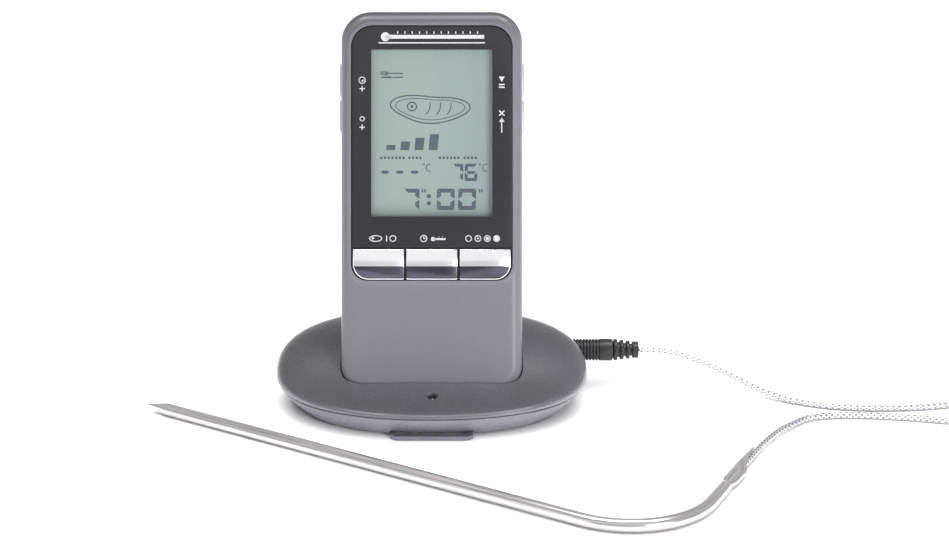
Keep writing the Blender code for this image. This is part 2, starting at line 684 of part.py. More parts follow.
def foot_share(z):
    below = min(max((BASE_GIRTH_HEIGHT - z) / BASE_GIRTH_HEIGHT, 0.0), 1.0)
    return 1 - (1 - BASE_FOOT_SHARE) * below ** BASE_FOOT_POWER


def level_ring(z, inset):
    share = foot_share(z)
    points = [outline_radius(2 * pi * i / BASE_FACETS, BASE_HALF_LENGTH * share - inset,
                             BASE_HALF_WIDTH * share - inset) for i in range(BASE_FACETS)]
    return [(x, y, z) for x, y in points]


def dome_rings(inset, steps=7):
    rings = []
    for i in range(steps + 1):
        angle = radians(88) * i / steps
        rings.append(base_ring(cos(angle) ** (2 / BASE_DOME_POWER),
                               sin(angle) ** (2 / BASE_DOME_POWER), inset))
    return rings


def base_surface(x, y):
    """Height of the dome's outside over a point."""
    share = (abs(x / BASE_HALF_LENGTH) ** BASE_SQUARENESS
             + abs(y / BASE_HALF_WIDTH) ** BASE_SQUARENESS) ** (1 / BASE_SQUARENESS)
    rise = max(1 - share ** BASE_DOME_POWER, 0.0) ** (1 / BASE_DOME_POWER)
    return dome_height(y, rise)


def wall_x(y):
    """Where the outside of the base crosses a given y at its girth."""
    return BASE_HALF_LENGTH * (1 - abs(y / BASE_HALF_WIDTH) ** BASE_SQUARENESS) ** (
        1 / BASE_SQUARENESS)


def base_screw_places():
    front_x = HALF + POCKET_OFFSET + BOSS_RADIUS + 1.2
    return ((-front_x, -15.0), (front_x, -15.0), (-30.0, 21.0), (30.0, 21.0))


def upright(name, radius, place, z):
    return turned(name, ((z[0], radius), (z[1], radius)), "Z", place=(place[0], place[1], 0),
                  sides=16)


def build_base_top(handset):
    seam = BASE_SEAM_HEIGHT + GAP / 2
    shell = loft("base_top_shell", [level_ring(seam, 0)] + dome_rings(0), split=True)
    cavity = loft("cut_top_cavity", [level_ring(seam - 4, BASE_WALL)] + dome_rings(BASE_WALL),
                  split=True)
    tub = grown_slab("guide_tub", POCKET_OFFSET, handset)
    low_tub = grown_slab("guide_low_tub", POCKET_OFFSET + 0.1, handset)
    boolean(low_tub, block("guide_under_seam", (-90, 90), (-90, 90),
                           (-5, BASE_SEAM_HEIGHT + 2.0)), "INTERSECT")
    cut(cavity, tub)
    for i, place in enumerate(base_screw_places()):
        cut(cavity, upright(f"guide_top_boss_{i}", BOSS_RADIUS, place, (seam, 60)))
    add(shell, low_tub)
    cut(shell, cavity)
    cut(shell, grown_slab("cut_pocket", POCKET_CLEARANCE, handset))
    for i, place in enumerate(base_screw_places()):
        roof = base_surface(*place) - BASE_WALL
        cut(shell, upright(f"cut_top_pilot_{i}", SCREW_RADIUS + GAP, place,
                           (seam - 1, min(roof, seam + SCREW_BITE))))
    cut(shell, turned("cut_plug_hole", ((wall_x(PLUG_Y) - PLUG_SINK - 4, PLUG_HOLE_RADIUS),
                                        (wall_x(PLUG_Y) + 20, PLUG_HOLE_RADIUS)), "X",
                      place=(0, PLUG_Y, PLUG_Z)))
    cut(shell, turned("cut_led_hole", ((-LED_LENGTH - 4, LED_HOLE_RADIUS),
                                       (6, LED_HOLE_RADIUS)), "Z",
                      place=(0, LED_Y, base_surface(0, LED_Y)), rotation=(LED_TILT, 0, 0)))
    paint(shell, (0.28, 0.27, 0.31), 0.42)


def loop_box():
    front = FOOT_FRONT_Y - LOOP_REACH
    return (-LOOP_WIDTH / 2, LOOP_WIDTH / 2), (front, front + LOOP_LENGTH)


def base_door_box():
    """The door lies under the cells, behind the handset's pocket."""
    front = base_cell_places()[0][1] - CELL_RADIUS
    return front, front + BASE_DOOR_WIDTH


def base_cell_places():
    """Two cells along X behind the pocket, the second one higher and further back."""
    lower_edge = POCKET_FACE_Y + HANDSET_THICKNESS * cos(LEAN)
    first_y = lower_edge + POCKET_OFFSET + CELL_RADIUS + 4.3
    first_z = BASE_WALL + CELL_RADIUS + 0.8
    return ((1, first_y, first_z), (2, first_y + 10.2, first_z + 3.6))


def build_base_bottom():
    seam = BASE_SEAM_HEIGHT - GAP / 2
    levels = (0, seam * 0.3, seam * 0.65, seam)
    shell = loft("base_bottom_shell", [level_ring(z, 0) for z in levels])
    cavity = loft("cut_bottom_cavity", [level_ring(z, BASE_WALL)
                                        for z in (BASE_WALL, seam * 0.65, seam, seam + 2)])
    for i, place in enumerate(base_screw_places()):
        cut(cavity, upright(f"guide_standoff_{i}", BOSS_RADIUS, place, (0, seam)))
    loop_x, loop_y = loop_box()
    loop_roof = LOOP_LIFT + LOOP_THICKNESS + GAP
    cut(cavity, block("guide_loop_roof", (loop_x[0] - 2, loop_x[1] + 2),
                      (loop_y[0] - 4, loop_y[1] + 2), (0, loop_roof + 1.5)))
    front, back = base_door_box()
    reach = back + BASE_DOOR_TRAVEL + GAP
    door_roof = BASE_DOOR_LIFT + BASE_DOOR_THICKNESS + GAP
    cut(cavity, block("guide_door_roof",
                      (-BASE_DOOR_HALF_LENGTH - 2, BASE_DOOR_HALF_LENGTH + 2),
                      (back - 1.5, reach + 6), (0, door_roof + 1.5)))
    cut(shell, cavity)
    cut(shell, block("cut_loop_channel", (loop_x[0] - GAP, loop_x[1] + GAP),
                     (loop_y[0] - 20, loop_y[1] + GAP), (-1, loop_roof)))
    wide = BASE_DOOR_HALF_LENGTH + GAP
    cut(shell, block("cut_base_door", (-wide, wide), (front - GAP, back - 1.5), (-1, 5)))
    cut(shell, block("cut_base_door_recess", (-wide, wide), (front - GAP, reach),
                     (-1, door_roof)))
    for i, place in enumerate(base_screw_places()):
        cut(shell, upright(f"cut_bottom_bore_{i}", SCREW_RADIUS + GAP, place, (-1, seam + 1)))
        cut(shell, upright(f"cut_bottom_sink_{i}", SCREW_HEAD_RADIUS + GAP, place,
                           (-1, SCREW_SINK + SCREW_HEAD_HEIGHT + GAP)))
    paint(shell, (0.26, 0.25, 0.29), 0.45)


def build_base_door():
    front, back = base_door_box()
    z = (BASE_DOOR_LIFT, BASE_DOOR_LIFT + BASE_DOOR_THICKNESS)
    door = block("base_battery_door", (-BASE_DOOR_HALF_LENGTH, BASE_DOOR_HALF_LENGTH),
                 (front, back), z)
    for i in range(3):
        y = front + 2.5 + 2.4 * i
        cut(door, block(f"cut_base_grip_{i}", (-9, 9), (y, y + 1.1), (-1, z[0] + 0.5)))
    paint(door, (0.26, 0.25, 0.29), 0.45)


def build_hanging_loop():
    """A flat loop in a channel under the front, that pulls out to hang the base up."""
    x, y = loop_box()
    z = (LOOP_LIFT, LOOP_LIFT + LOOP_THICKNESS)
    outer = round_rect(x, y, 1.0, 2.4, 4)
    loop = loft("hanging_loop", [[(a, b, level) for a, b in outer] for level in z])
    slot = round_rect((x[0] + LOOP_BAR, x[1] - LOOP_BAR), (y[0] + LOOP_BAR, y[1] - LOOP_BAR),
                      1.0, 1.0, 4)
    cut(loop, loft("cut_loop_slot", [[(a, b, level) for a, b in slot] for level in (-2, 5)]))
    paint(loop, (0.25, 0.24, 0.28), 0.5)


def build_base_cells():
    turn = 1
    for number, y, z in base_cell_places():
        cell(f"base_battery_{number}", "X", (0, y, z), None, turn)
        turn = -turn
    (_, y1, z1), (_, y2, z2) = base_cell_places()
    tilt = atan2(z2 - z1, y2 - y1)
    reach = hypot(z2 - z1, y2 - y1) / 2 + CELL_RADIUS - 1.2
    half = CELL_RADIUS - 1.2
    outline = round_rect((-reach, reach), (-half, half), half, half, 5)
    for side, word in ((-1, "left"), (1, "right")):
        start = side * (CELL_LENGTH / 2 + GAP)
        rings = [[(x, a, b) for a, b in outline]
                 for x in (start, start + side * CONTACT_THICKNESS)]
        contact = loft(f"base_contact_{word}", rings, None,
                       place=(0, (y1 + y2) / 2, (z1 + z2) / 2), rotation=(tilt, 0, 0))
        paint(contact, (0.7, 0.7, 0.68), 0.25, 1.0)


def build_base_board():
    inner_x = HALF + POCKET_OFFSET + 1.6
    outer_x = wall_x(PLUG_Y) - BASE_WALL - 4.6
    top = PLUG_Z - JACK_HALF_HEIGHT - GAP
    board = block("base_circuit_board", (inner_x, outer_x), (-8, PLUG_Y + 2.4),
                  (top - 1.6, top))
    paint(board, (0.03, 0.16, 0.07), 0.4)
    face = wall_x(PLUG_Y) - PLUG_SINK - GAP
    jack = block("jack_socket", (inner_x - 0.6, face - 2.6),
                 (PLUG_Y - JACK_HALF_WIDTH, PLUG_Y + JACK_HALF_WIDTH),
                 (PLUG_Z - JACK_HALF_HEIGHT, PLUG_Z + JACK_HALF_HEIGHT))
    collar = turned("guide_jack_collar", ((face - 3.5, 2.5), (face - GAP, 2.5)), "X",
                    place=(0, PLUG_Y, PLUG_Z), sides=16)
    add(jack, collar)
    bore = PLUG_PIN_RADIUS + GAP
    end = face + GAP - PLUG_PIN_LENGTH - GAP
    cut(jack, turned("cut_jack_bore", ((end, bore), (face + 2, bore)), "X",
                     place=(0, PLUG_Y, PLUG_Z), sides=16))
    paint(jack, (0.02, 0.02, 0.02), 0.4)
    antenna_x, antenna_y = inner_x + 3.0, -4.5
    roof = base_surface(antenna_x + 2, antenna_y - 2) - BASE_WALL
    antenna = turned("transmitter_antenna", ((0, 2.0), (min(6.0, roof - top - 3 * GAP), 2.0)),
                     "Z", place=(antenna_x, antenna_y, top + GAP), sides=16)
    paint(antenna, (0.5, 0.25, 0.12), 0.3, 1.0)
    led = turned("status_led", ((-LED_LENGTH - LED_SINK, LED_RADIUS), (-LED_SINK - 1.2, LED_RADIUS),
                                (-LED_SINK - 0.4, LED_RADIUS * 0.8), (-LED_SINK, 0.3)), "Z",
                 place=(0, LED_Y, base_surface(0, LED_Y)), rotation=(LED_TILT, 0, 0), sides=16)
    paint(led, (0.12, 0.02, 0.02), 0.2)


def build_base_screws():
    seam = BASE_SEAM_HEIGHT + GAP / 2
    for i, (x, y) in enumerate(base_screw_places(), start=1):
        top = min(base_surface(x, y) - BASE_WALL, seam + SCREW_BITE) - GAP
        screw(f"base_screw_{i}", "Z", top - SCREW_SINK, None, (x, y, SCREW_SINK), 1)


# ---- plug and lead ---------------------------------------------------------------------------
def plug_start():
    return wall_x(PLUG_Y) - PLUG_SINK


def build_plug():
    start = plug_start()
    place = (0, PLUG_Y, PLUG_Z)
    ribbed = []
    ribs = 10
    pitch = 1.1
    for i in range(ribs):
        x = start + i * pitch
        ribbed += [(x, PLUG_GRIP_RADIUS), (x + 0.6, PLUG_GRIP_RADIUS),
                   (x + 0.85, PLUG_GRIP_RADIUS - 0.3)]
    end = start + PLUG_GRIP_LENGTH
    ribbed += [(start + ribs * pitch, PLUG_GRIP_RADIUS), (end - 0.4, PLUG_GRIP_RADIUS),
               (end, PLUG_GRIP_RADIUS - 0.4)]
    grip = turned("plug_grip", ribbed, "X", place=place, sides=14)
    paint(grip, (0.02, 0.02, 0.025), 0.45)
    pin = turned("plug_pin", ((start - PLUG_PIN_LENGTH, 0.5),
                              (start - PLUG_PIN_LENGTH + 1.2, PLUG_PIN_RADIUS),
                              (start - GAP, PLUG_PIN_RADIUS)), "X", place=place, sides=16)
    paint(pin, (0.8, 0.78, 0.72), 0.2, 1.0)
    first = end + GAP
    relief_profile = []
    count = 4
    for i in range(count):
        x = first + i * RELIEF_LENGTH / count
        radius = RELIEF_RADIUS + (RELIEF_END_RADIUS - RELIEF_RADIUS) * i / (count - 1)
        relief_profile += [(x, radius), (x + RELIEF_LENGTH / count - 0.75, radius)]
        if i < count - 1:
            relief_profile += [(x + RELIEF_LENGTH / count - 0.7, radius - 0.9),
                               (x + RELIEF_LENGTH / count - 0.1, radius - 0.9)]
        else:
            relief_profile += [(x + RELIEF_LENGTH / count, radius - 0.6)]
    relief = turned("plug_strain_relief", relief_profile, "X", place=place, sides=14)
    paint(relief, (0.02, 0.02, 0.025), 0.5)
    return first + RELIEF_LENGTH


def smooth_route(route, spacing):
    """Points along a smooth curve through the route's own points."""
    padded = [2 * Vector(route[0]) - Vector(route[1])] + [Vector(p) for p in route]
    padded.append(2 * Vector(route[-1]) - Vector(route[-2]))
    points = [padded[1]]
    for a, b, c, d in zip(padded, padded[1:], padded[2:], padded[3:]):
        steps = max(1, ceil((c - b).length / spacing))
        for i in range(1, steps + 1):
            t = i / steps
            points.append(0.5 * (2 * b + (c - a) * t + (2 * a - 5 * b + 4 * c - d) * t * t
                                 + (3 * b - a - 3 * c + d) * t * t * t))
    return points


def cable(name, route):
    curve = bpy.data.curves.new(name, "CURVE")
    curve.dimensions = "3D"
    curve.bevel_depth = CABLE_RADIUS * MM
    curve.bevel_resolution = 2
    curve.use_fill_caps = True
    points = smooth_route(route, 5.0)
    spline = curve.splines.new("POLY")
    spline.points.add(len(points) - 1)
    for target, point in zip(spline.points, points):
        target.co = (*(point * MM), 1.0)
    obj = bpy.data.objects.new(name, curve)
    bpy.context.scene.collection.objects.link(obj)
    return paint(obj, (0.6, 0.6, 0.58), 0.4, 1.0)


def build_lead(relief_end):
    start = (relief_end + GAP, PLUG_Y, PLUG_Z)
    cable("cable_out", (start,) + CABLE_OUT_ROUTE)
    reach = COIL_HALF_THICKNESS
    outline = round_rect((COIL_RADIUS - reach, COIL_RADIUS + reach), (0, 2 * reach), 3.0, 3.0, 2)
    bm = bmesh.new()
    sides = 24
    rings = []
    for i in range(sides):
        angle = 2 * pi * i / sides
        rings.append([bm.verts.new((r * cos(angle), r * sin(angle), z)) for r, z in outline])
    for i in range(sides):
        here, there = rings[i], rings[(i + 1) % sides]
        for j in range(len(outline)):
            k = (j + 1) % len(outline)
            bm.faces.new((here[j], here[k], there[k], there[j]))
    coil = add_mesh("cable_coil", bm, place=(*COIL_CENTRE, 0))
    paint(coil, (0.6, 0.6, 0.58), 0.4, 1.0)
    end = probe_leg_point(PROBE_LEG + GAP)
    before = probe_leg_point(PROBE_LEG + 4.0)
    cable("cable_back", CABLE_BACK_ROUTE + ((*before, PROBE_RADIUS), (*end, PROBE_RADIUS)))


# ---- probe -----------------------------------------------------------------------------------
def probe_bend_end():
    ahead = Vector((cos(PROBE_HEADING), sin(PROBE_HEADING)))
    left = Vector((-ahead.y, ahead.x))
    centre = Vector(PROBE_TIP) + ahead * PROBE_STRAIGHT + left * PROBE_BEND_RADIUS
    heading = PROBE_HEADING + PROBE_BEND
    return centre + Vector((sin(heading), -cos(heading))) * PROBE_BEND_RADIUS


def probe_leg_point(distance):
    heading = PROBE_HEADING + PROBE_BEND
    return probe_bend_end() + Vector((cos(heading), sin(heading))) * distance


def probe_point(distance):
    """Place and heading on the probe's axis, at a distance from its tip."""
    if distance <= PROBE_STRAIGHT:
        heading = PROBE_HEADING
        place = Vector(PROBE_TIP) + Vector((cos(heading), sin(heading))) * distance
        return place, heading
    bend_length = PROBE_BEND_RADIUS * PROBE_BEND
    if distance <= PROBE_STRAIGHT + bend_length:
        heading = PROBE_HEADING + (distance - PROBE_STRAIGHT) / PROBE_BEND_RADIUS
        ahead = Vector((cos(PROBE_HEADING), sin(PROBE_HEADING)))
        left = Vector((-ahead.y, ahead.x))
        centre = Vector(PROBE_TIP) + ahead * PROBE_STRAIGHT + left * PROBE_BEND_RADIUS
        return centre + Vector((sin(heading), -cos(heading))) * PROBE_BEND_RADIUS, heading
    return probe_leg_point(distance - PROBE_STRAIGHT - bend_length), PROBE_HEADING + PROBE_BEND


def probe_ring(distance, half_width, half_height, sides=12):
    place, heading = probe_point(distance)
    side = Vector((-sin(heading), cos(heading)))
    ring = []
    for i in range(sides):
        angle = 2 * pi * i / sides
        across = side * half_width * cos(angle)
        ring.append((place.x + across.x, place.y + across.y,
                     PROBE_RADIUS + half_height * sin(angle)))
    return ring


def build_probe():
    """A steel tube: pointed and shut at the tip, bent, and flattened where it grips the lead."""
    bend_length = PROBE_BEND_RADIUS * PROBE_BEND
    leg = PROBE_STRAIGHT + bend_length
    end = leg + PROBE_LEG
    outer = [(0, 0.25, 0.25), (PROBE_POINT * 0.5, PROBE_RADIUS * 0.6, PROBE_RADIUS * 0.6),
             (PROBE_POINT, PROBE_RADIUS, PROBE_RADIUS)]
    bends = 10
    stations = [PROBE_STRAIGHT + bend_length * i / bends for i in range(bends + 1)]
    outer += [(s, PROBE_RADIUS, PROBE_RADIUS) for s in stations]
    crimp = leg + CRIMP_START
    outer += [(crimp, PROBE_RADIUS, PROBE_RADIUS), (crimp + 3.0, 1.9, 2.05),
              (crimp + 7.0, CRIMP_HALF_WIDTH, CRIMP_HALF_HEIGHT + 0.1),
              (end, CRIMP_HALF_WIDTH, CRIMP_HALF_HEIGHT)]
    inner = [(end, CRIMP_HALF_WIDTH - 0.7, CRIMP_HALF_HEIGHT - 0.5),
             (crimp + 7.0, CRIMP_HALF_WIDTH - 0.7, CRIMP_HALF_HEIGHT - 0.5),
             (crimp + 3.0, 1.35, 1.4), (crimp, PROBE_BORE, PROBE_BORE)]
    inner += [(s, PROBE_BORE, PROBE_BORE) for s in reversed(stations)]
    inner += [(PROBE_POINT + 1.0, PROBE_BORE, PROBE_BORE)]
    rings = [probe_ring(*station) for station in outer + inner]
    tube = loft("probe_tube", rings)
    paint(tube, (0.6, 0.6, 0.61), 0.2, 1.0)
    place, heading = probe_point(PROBE_POINT + 2.0)
    sensor = turned("temperature_sensor", ((0, SENSOR_RADIUS), (SENSOR_LENGTH, SENSOR_RADIUS)),
                    "X", place=(place.x, place.y, PROBE_RADIUS), rotation=(0, 0, heading),
                    sides=12)
    paint(sensor, (0.1, 0.1, 0.1), 0.4)


def main():
    clear_scene()
    handset = handset_frame()
    bpy.context.view_layer.update()
    build_front_shell(handset)
    build_back_shell(handset)
    build_handset_door(handset)
    build_display(handset)
    build_handset_board(handset)
    build_front_keys(handset)
    build_side_keys(handset)
    build_handset_cells(handset)
    build_handset_screws(handset)
    build_base_top(handset)
    build_base_bottom()
    build_base_door()
    build_hanging_loop()
    build_base_cells()
    build_base_board()
    build_base_screws()
    build_lead(build_plug())
    build_probe()


main()
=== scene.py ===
from math import ceil, cos, exp, hypot, pi, radians, sin

import bmesh
import bpy
from bpy.props import FloatProperty, FloatVectorProperty, IntProperty, PointerProperty
from mathutils import Matrix, Vector


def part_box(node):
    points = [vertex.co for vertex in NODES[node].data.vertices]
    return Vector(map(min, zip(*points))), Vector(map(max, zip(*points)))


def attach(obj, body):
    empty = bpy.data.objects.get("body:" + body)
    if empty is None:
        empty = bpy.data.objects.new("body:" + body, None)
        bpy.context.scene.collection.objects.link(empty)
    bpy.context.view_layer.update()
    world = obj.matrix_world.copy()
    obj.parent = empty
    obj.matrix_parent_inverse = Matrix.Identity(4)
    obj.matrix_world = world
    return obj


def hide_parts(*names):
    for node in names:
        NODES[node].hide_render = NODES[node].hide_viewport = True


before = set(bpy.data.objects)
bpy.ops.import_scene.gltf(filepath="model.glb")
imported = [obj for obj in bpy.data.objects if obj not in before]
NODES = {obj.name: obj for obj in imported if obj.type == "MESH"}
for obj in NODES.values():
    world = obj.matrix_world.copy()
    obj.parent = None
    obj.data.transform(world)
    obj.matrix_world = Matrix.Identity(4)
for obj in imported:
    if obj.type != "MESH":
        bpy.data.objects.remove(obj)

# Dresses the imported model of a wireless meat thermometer: its moulded shells, display, keys,
# plug, braided lead and steel probe. Sizes are in millimetres unless a comment says otherwise.

bl_info = {
    "name": "Wireless Meat Thermometer",
    "version": (1, 0, 0),
    "blender": (4, 5, 0),
    "location": "View3D > Sidebar > Thermometer",
    "description": "Builds the shells, display, lead and probe of a meat thermometer",
    "category": "Object",
}

MM = 0.001


# ---- handset, in its own axes: X across, Y into its thickness, Z along its length -------------
HALF = 30.2
LENGTH = 126.3
THICKNESS = 23.0
WALL = 1.8
TOP_CORNER = 10.0
BOTTOM_CORNER = 8.5
FRONT_ROUND = 4.0
BACK_ROUND = 6.0
SEAM_DEPTH = 11.0
SEAM_GAP = 0.15
CASE_SEAM_EDGE = 0.25
GAP = 0.3
LEAN = radians(18.0)
FACE_EDGE = (0.0, -19.2, 10.8)  # where the front face meets the lower end, in the world
RECESS_HALF = 26.8
RECESS_TOP = 121.4
RECESS_BOTTOM = 36.7
RECESS_DEPTH = 0.9
RECESS_CORNER = 7.2
KEY_CORNER = 5.5
LIP_WIDTH = 1.4
LIP_HEIGHT = 0.45
LIP_ROUND = 0.42
PANEL_TOP = 121.1
PANEL_BOTTOM = 47.8
PANEL_FRONT = -0.2
PANEL_THICKNESS = 0.8
WINDOW_HALF = 20.1
WINDOW_TOP = 113.4
WINDOW_BOTTOM = 58.0
WINDOW_LEDGE = 0.8
LCD_FRONT = 2.1
MASK_WIDTH = 0.6
INK_THICKNESS = 0.03
KEY_WIDTH = 17.0
KEY_TOP = 47.1
KEY_BOTTOM = 37.0
KEY_PITCH = 17.7
KEY_RIDGE = 1.4
KEY_EDGE = 0.5
RIDGE_HEIGHT = 4.5
KEY_MIDDLE = (KEY_TOP + KEY_BOTTOM) / 2
STEM_HALF = 4.0
STEM_HALF_HEIGHT = 2.3
SIDE_KEY_LENGTH = 11.1
SIDE_KEY_DEPTH = 6.0
SIDE_KEY_PROUD = 0.8
SIDE_KEY_MIDDLES = (103.9, 91.8)
CELL_RADIUS = 5.25
CASE_DOOR_LOW = 36.0
CASE_DOOR_HIGH = 88.5
CASE_DOOR_TRAVEL = 8.0
THUMB_DEPTH = 1.4
DOOR_ROOF = 1.5
VENT_COUNT = 9
VENT_START = 97.0
VENT_PITCH = 1.5
SCREW_PLACES = ((-21.6, 14.0), (21.6, 14.0), (-21.6, 117.7), (21.6, 117.7))
SCREW_HEAD = 2.3
SCREW_SINK = 0.4
SCREW_BORE = 1.3
SINK_DEPTH = 2.3
CROSS_HALF = 0.35
CROSS_REACH = 1.4
BOSS_RADIUS = 3.0


# ---- base -------------------------------------------------------------------------------------
BASE_LONG = 52.84
BASE_WIDE = 36.23
SQUARENESS = 2.207  # power of the outline, where 2 is an ellipse
FRONT_CROWN = 10.0
CROWN_RISE = 16.0
RISE_MIDDLE = -8.9
RISE_STEEPNESS = 0.125  # per millimetre
DOME_POWER = 3.09  # power of the dome's section, where 2 is an ellipse
GIRTH_HEIGHT = 9.85
FRONT_DROP = 1.75
SEAM_HEIGHT = 7.37
FOOT_SHARE = 0.842  # the foot's outline, as a share of the girth's
FOOT_POWER = 1.41
BASE_SEAM_EDGE = 0.3
BASE_FACETS = 144
BASE_WALL = 2.0
BASE_DOOR_TRAVEL = 6.0
POCKET_CLEARANCE = 0.45
POCKET_WALL = 1.8
BASE_SCREWS = ((-36.65, -15.0), (36.65, -15.0), (-30.0, 21.0), (30.0, 21.0))
LED_Y = -24.7
LED_TILT = radians(14.0)
LED_HOLE = 1.7
PLUG_Y = 15.0
PLUG_Z = 12.2
PLUG_HOLE = 4.3
PLUG_RADIUS = 3.85
RELIEF_START = 3.75
RELIEF_END = 2.9
RELIEF_COLLARS = 4


# ---- lead and probe ---------------------------------------------------------------------------
LEAD_RADIUS = 1.0
LEAD_SPACING = 1.6
COIL_CENTRE = (200.0, -15.0)
OUT_ROUTE = (
    (76.0, 14.7, 12.3), (82.4, 14.0, 12.0), (88.3, 13.0, 10.6), (94.0, 11.5, 8.9),
    (99.8, 9.3, 6.9), (105.5, 6.5, 4.9), (111.1, 3.3, 3.0), (116.5, 0.0, 1.75),
    (123.0, -4.0, 1.1), (135.0, -8.6, 1.05), (150.0, -10.4, 1.05), (166.0, -9.4, 1.05),
    (178.0, -6.9, 1.05), (187.6, -4.4, 1.05),
)
BACK_ROUTE = (
    (187.6, -25.6, 1.05), (178.0, -23.0, 1.05), (163.0, -19.2, 1.05), (148.0, -17.0, 1.05),
    (134.0, -16.8, 1.1), (125.2, -19.5, 1.3), (118.9, -25.3, 1.6), (114.4, -30.2, 1.8),
    (110.6, -35.7, 2.0), (107.0, -41.5, 2.1),
)
# each turn of the coil: radius and height
COIL_LANES = ((13.0, 1.05), (10.95, 1.05), (8.9, 1.05), (8.9, 3.1), (10.95, 3.1), (13.0, 3.1),
              (13.0, 5.15), (10.95, 5.15), (8.9, 5.15), (8.9, 7.2), (10.95, 7.2))
PROBE_TIP = (-95.9, -9.6)
PROBE_HEADING = radians(-31.7)
PROBE_RADIUS = 2.1
PROBE_POINT = 8.0
PROBE_STRAIGHT = 164.5
BEND_RADIUS = 28.4
BEND_ANGLE = radians(94.2)
PROBE_LEG = 42.5
PROBE_BORE = 1.5
PROBE_SIDES = 36
CRIMP_START = 14.0
CRIMP_HALF_WIDTH = 2.6
CRIMP_HALF_HEIGHT = 1.75
CRIMP_WALL = 0.42
CRIMP_CLOSED = 9.0
LEAD_IN_CRIMP = 16.0


# ---- stage, in metres -------------------------------------------------------------------------
CAMERA_DISTANCE = 0.65
CAMERA_PITCH = radians(18.0)
CAMERA_AIM = 0.06
FLOOR_HALF = 3.0
FLOOR_DROP = 0.0002
SHEEN = 0.7
SOFT_BOXES = (  # name, place, size, share of the key's power
    ("right_box", (0.82, -1.14, 0.34), (0.5, 0.6), 1.0),
    ("left_box", (-1.05, -0.95, 0.34), (0.5, 0.6), 0.12),
    ("key_row_box", (0.0, -1.0, 0.88), (1.5, 0.62), 0.13),
)
SPARKS = (  # the same, as shares of the spark's power
    ("left_spark", (-0.25, -0.06, 0.95), (0.14, 0.1), 1.0),
    ("right_spark", (0.36, -0.06, 0.92), (0.18, 0.1), 1.1),
    ("middle_spark", (0.05, -0.06, 0.95), (0.5, 0.1), 0.7),
)

HANDSET_AXES = Matrix.Translation(Vector(FACE_EDGE) * MM) @ Matrix.Rotation(-LEAN, 4, "X")
FINISH = {}


# ---- shapes -----------------------------------------------------------------------------------
def linear(hex_colour):
    """An sRGB hex colour as linear red, green, blue and alpha."""
    channels = [int(hex_colour[i:i + 2], 16) / 255 for i in (1, 3, 5)]
    return tuple(c / 12.92 if c <= 0.04045 else ((c + 0.055) / 1.055) ** 2.4
                 for c in channels) + (1.0,)


def settle(name, bm, axes=None, sharp=32, smooth=True):
    """Close a bmesh drawn in millimetres into an object in the frame's metres."""
    bmesh.ops.recalc_face_normals(bm, faces=bm.faces)
    bmesh.ops.scale(bm, vec=(MM, MM, MM), verts=bm.verts)
    if axes is not None:
        bmesh.ops.transform(bm, matrix=axes, verts=bm.verts)
    mesh = bpy.data.meshes.new(name)
    bm.to_mesh(mesh)
    bm.free()
    if smooth:
        mesh.shade_smooth()
        mesh.set_sharp_from_angle(angle=radians(sharp))
    obj = bpy.data.objects.new(name, mesh)
    bpy.context.scene.collection.objects.link(obj)
    return obj


def loft(name, rings, axes=None, split=False, sharp=32):
    """Skin rings that have equal point counts, and cap both ends."""
    bm = bmesh.new()
    loops = [[bm.verts.new(point) for point in ring] for ring in rings]
    count = len(loops[0])
    for first, second in zip(loops, loops[1:]):
        for i in range(count):
            j = (i + 1) % count
            bm.faces.new((first[i], first[j], second[j], second[i]))
    bm.faces.new(list(reversed(loops[0])))
    bm.faces.new(loops[-1])
    if split:
        bmesh.ops.triangulate(bm, faces=bm.faces)
    return settle(name, bm, axes, sharp)


def block(name, x, y, z, axes=None):
    """A plain box from its low and high end along each axis."""
    ring = ((x[0], y[0]), (x[1], y[0]), (x[1], y[1]), (x[0], y[1]))
    return loft(name, [[(a, b, level) for a, b in ring] for level in z], axes)


def turned(name, profile, axis="Z", place=(0, 0, 0), sides=48, axes=None, tilt=0.0):
    """A solid turned about an axis through place; profile holds (distance along, radius)."""
    spin = Matrix.Translation(Vector(place)) @ Matrix.Rotation(tilt, 4, "X")
    rings = []
    for along, radius in profile:
        ring = []
        for i in range(sides):
            angle = 2 * pi * i / sides
            across, up = radius * cos(angle), radius * sin(angle)
            point = {"X": (along, across, up), "Y": (across, along, up), "Z": (across, up, along)}
            ring.append(spin @ Vector(point[axis]))
        rings.append(ring)
    return loft(name, rings, axes)


def arc(centre, radius, start, end, steps):
    """Points along an arc between two angles in degrees."""
    points = []
    for i in range(steps + 1):
        angle = radians(start + (end - start) * i / steps)
        points.append((centre[0] + radius * cos(angle), centre[1] + radius * sin(angle)))
    return points


def round_rect(x, z, top, bottom, steps=12):
    """A rectangle's outline with one radius at its upper corners and one at its lower ones."""
    top = max(top, 0.05)
    bottom = max(bottom, 0.05)
    points = arc((x[1] - top, z[1] - top), top, 0, 90, steps)
    points += arc((x[0] + top, z[1] - top), top, 90, 180, steps)
    points += arc((x[0] + bottom, z[0] + bottom), bottom, 180, 270, steps)
    points += arc((x[1] - bottom, z[0] + bottom), bottom, 270, 360, steps)
    return points


def soft_plate(name, x, z, depth, top, bottom, edge=0.25, steps=12, axes=HANDSET_AXES,
               back_edge=0.0):
    """A flat piece with rounded corners whose front edge, the lower depth, is rounded over."""
    ordered = [(depth[0] + edge * (1 - sin(pi / 2 * i / 3)), edge * (1 - cos(pi / 2 * i / 3)))
               for i in range(3, -1, -1)]
    ordered += [(depth[1] - back_edge, 0.0)]
    if back_edge:
        ordered.append((depth[1], back_edge))
    outlines = [(y, round_rect((x[0] + inset, x[1] - inset), (z[0] + inset, z[1] - inset),
                               top - inset, bottom - inset, steps)) for y, inset in ordered]
    return loft(name, [[(a, y, b) for a, b in outline] for y, outline in outlines], axes)


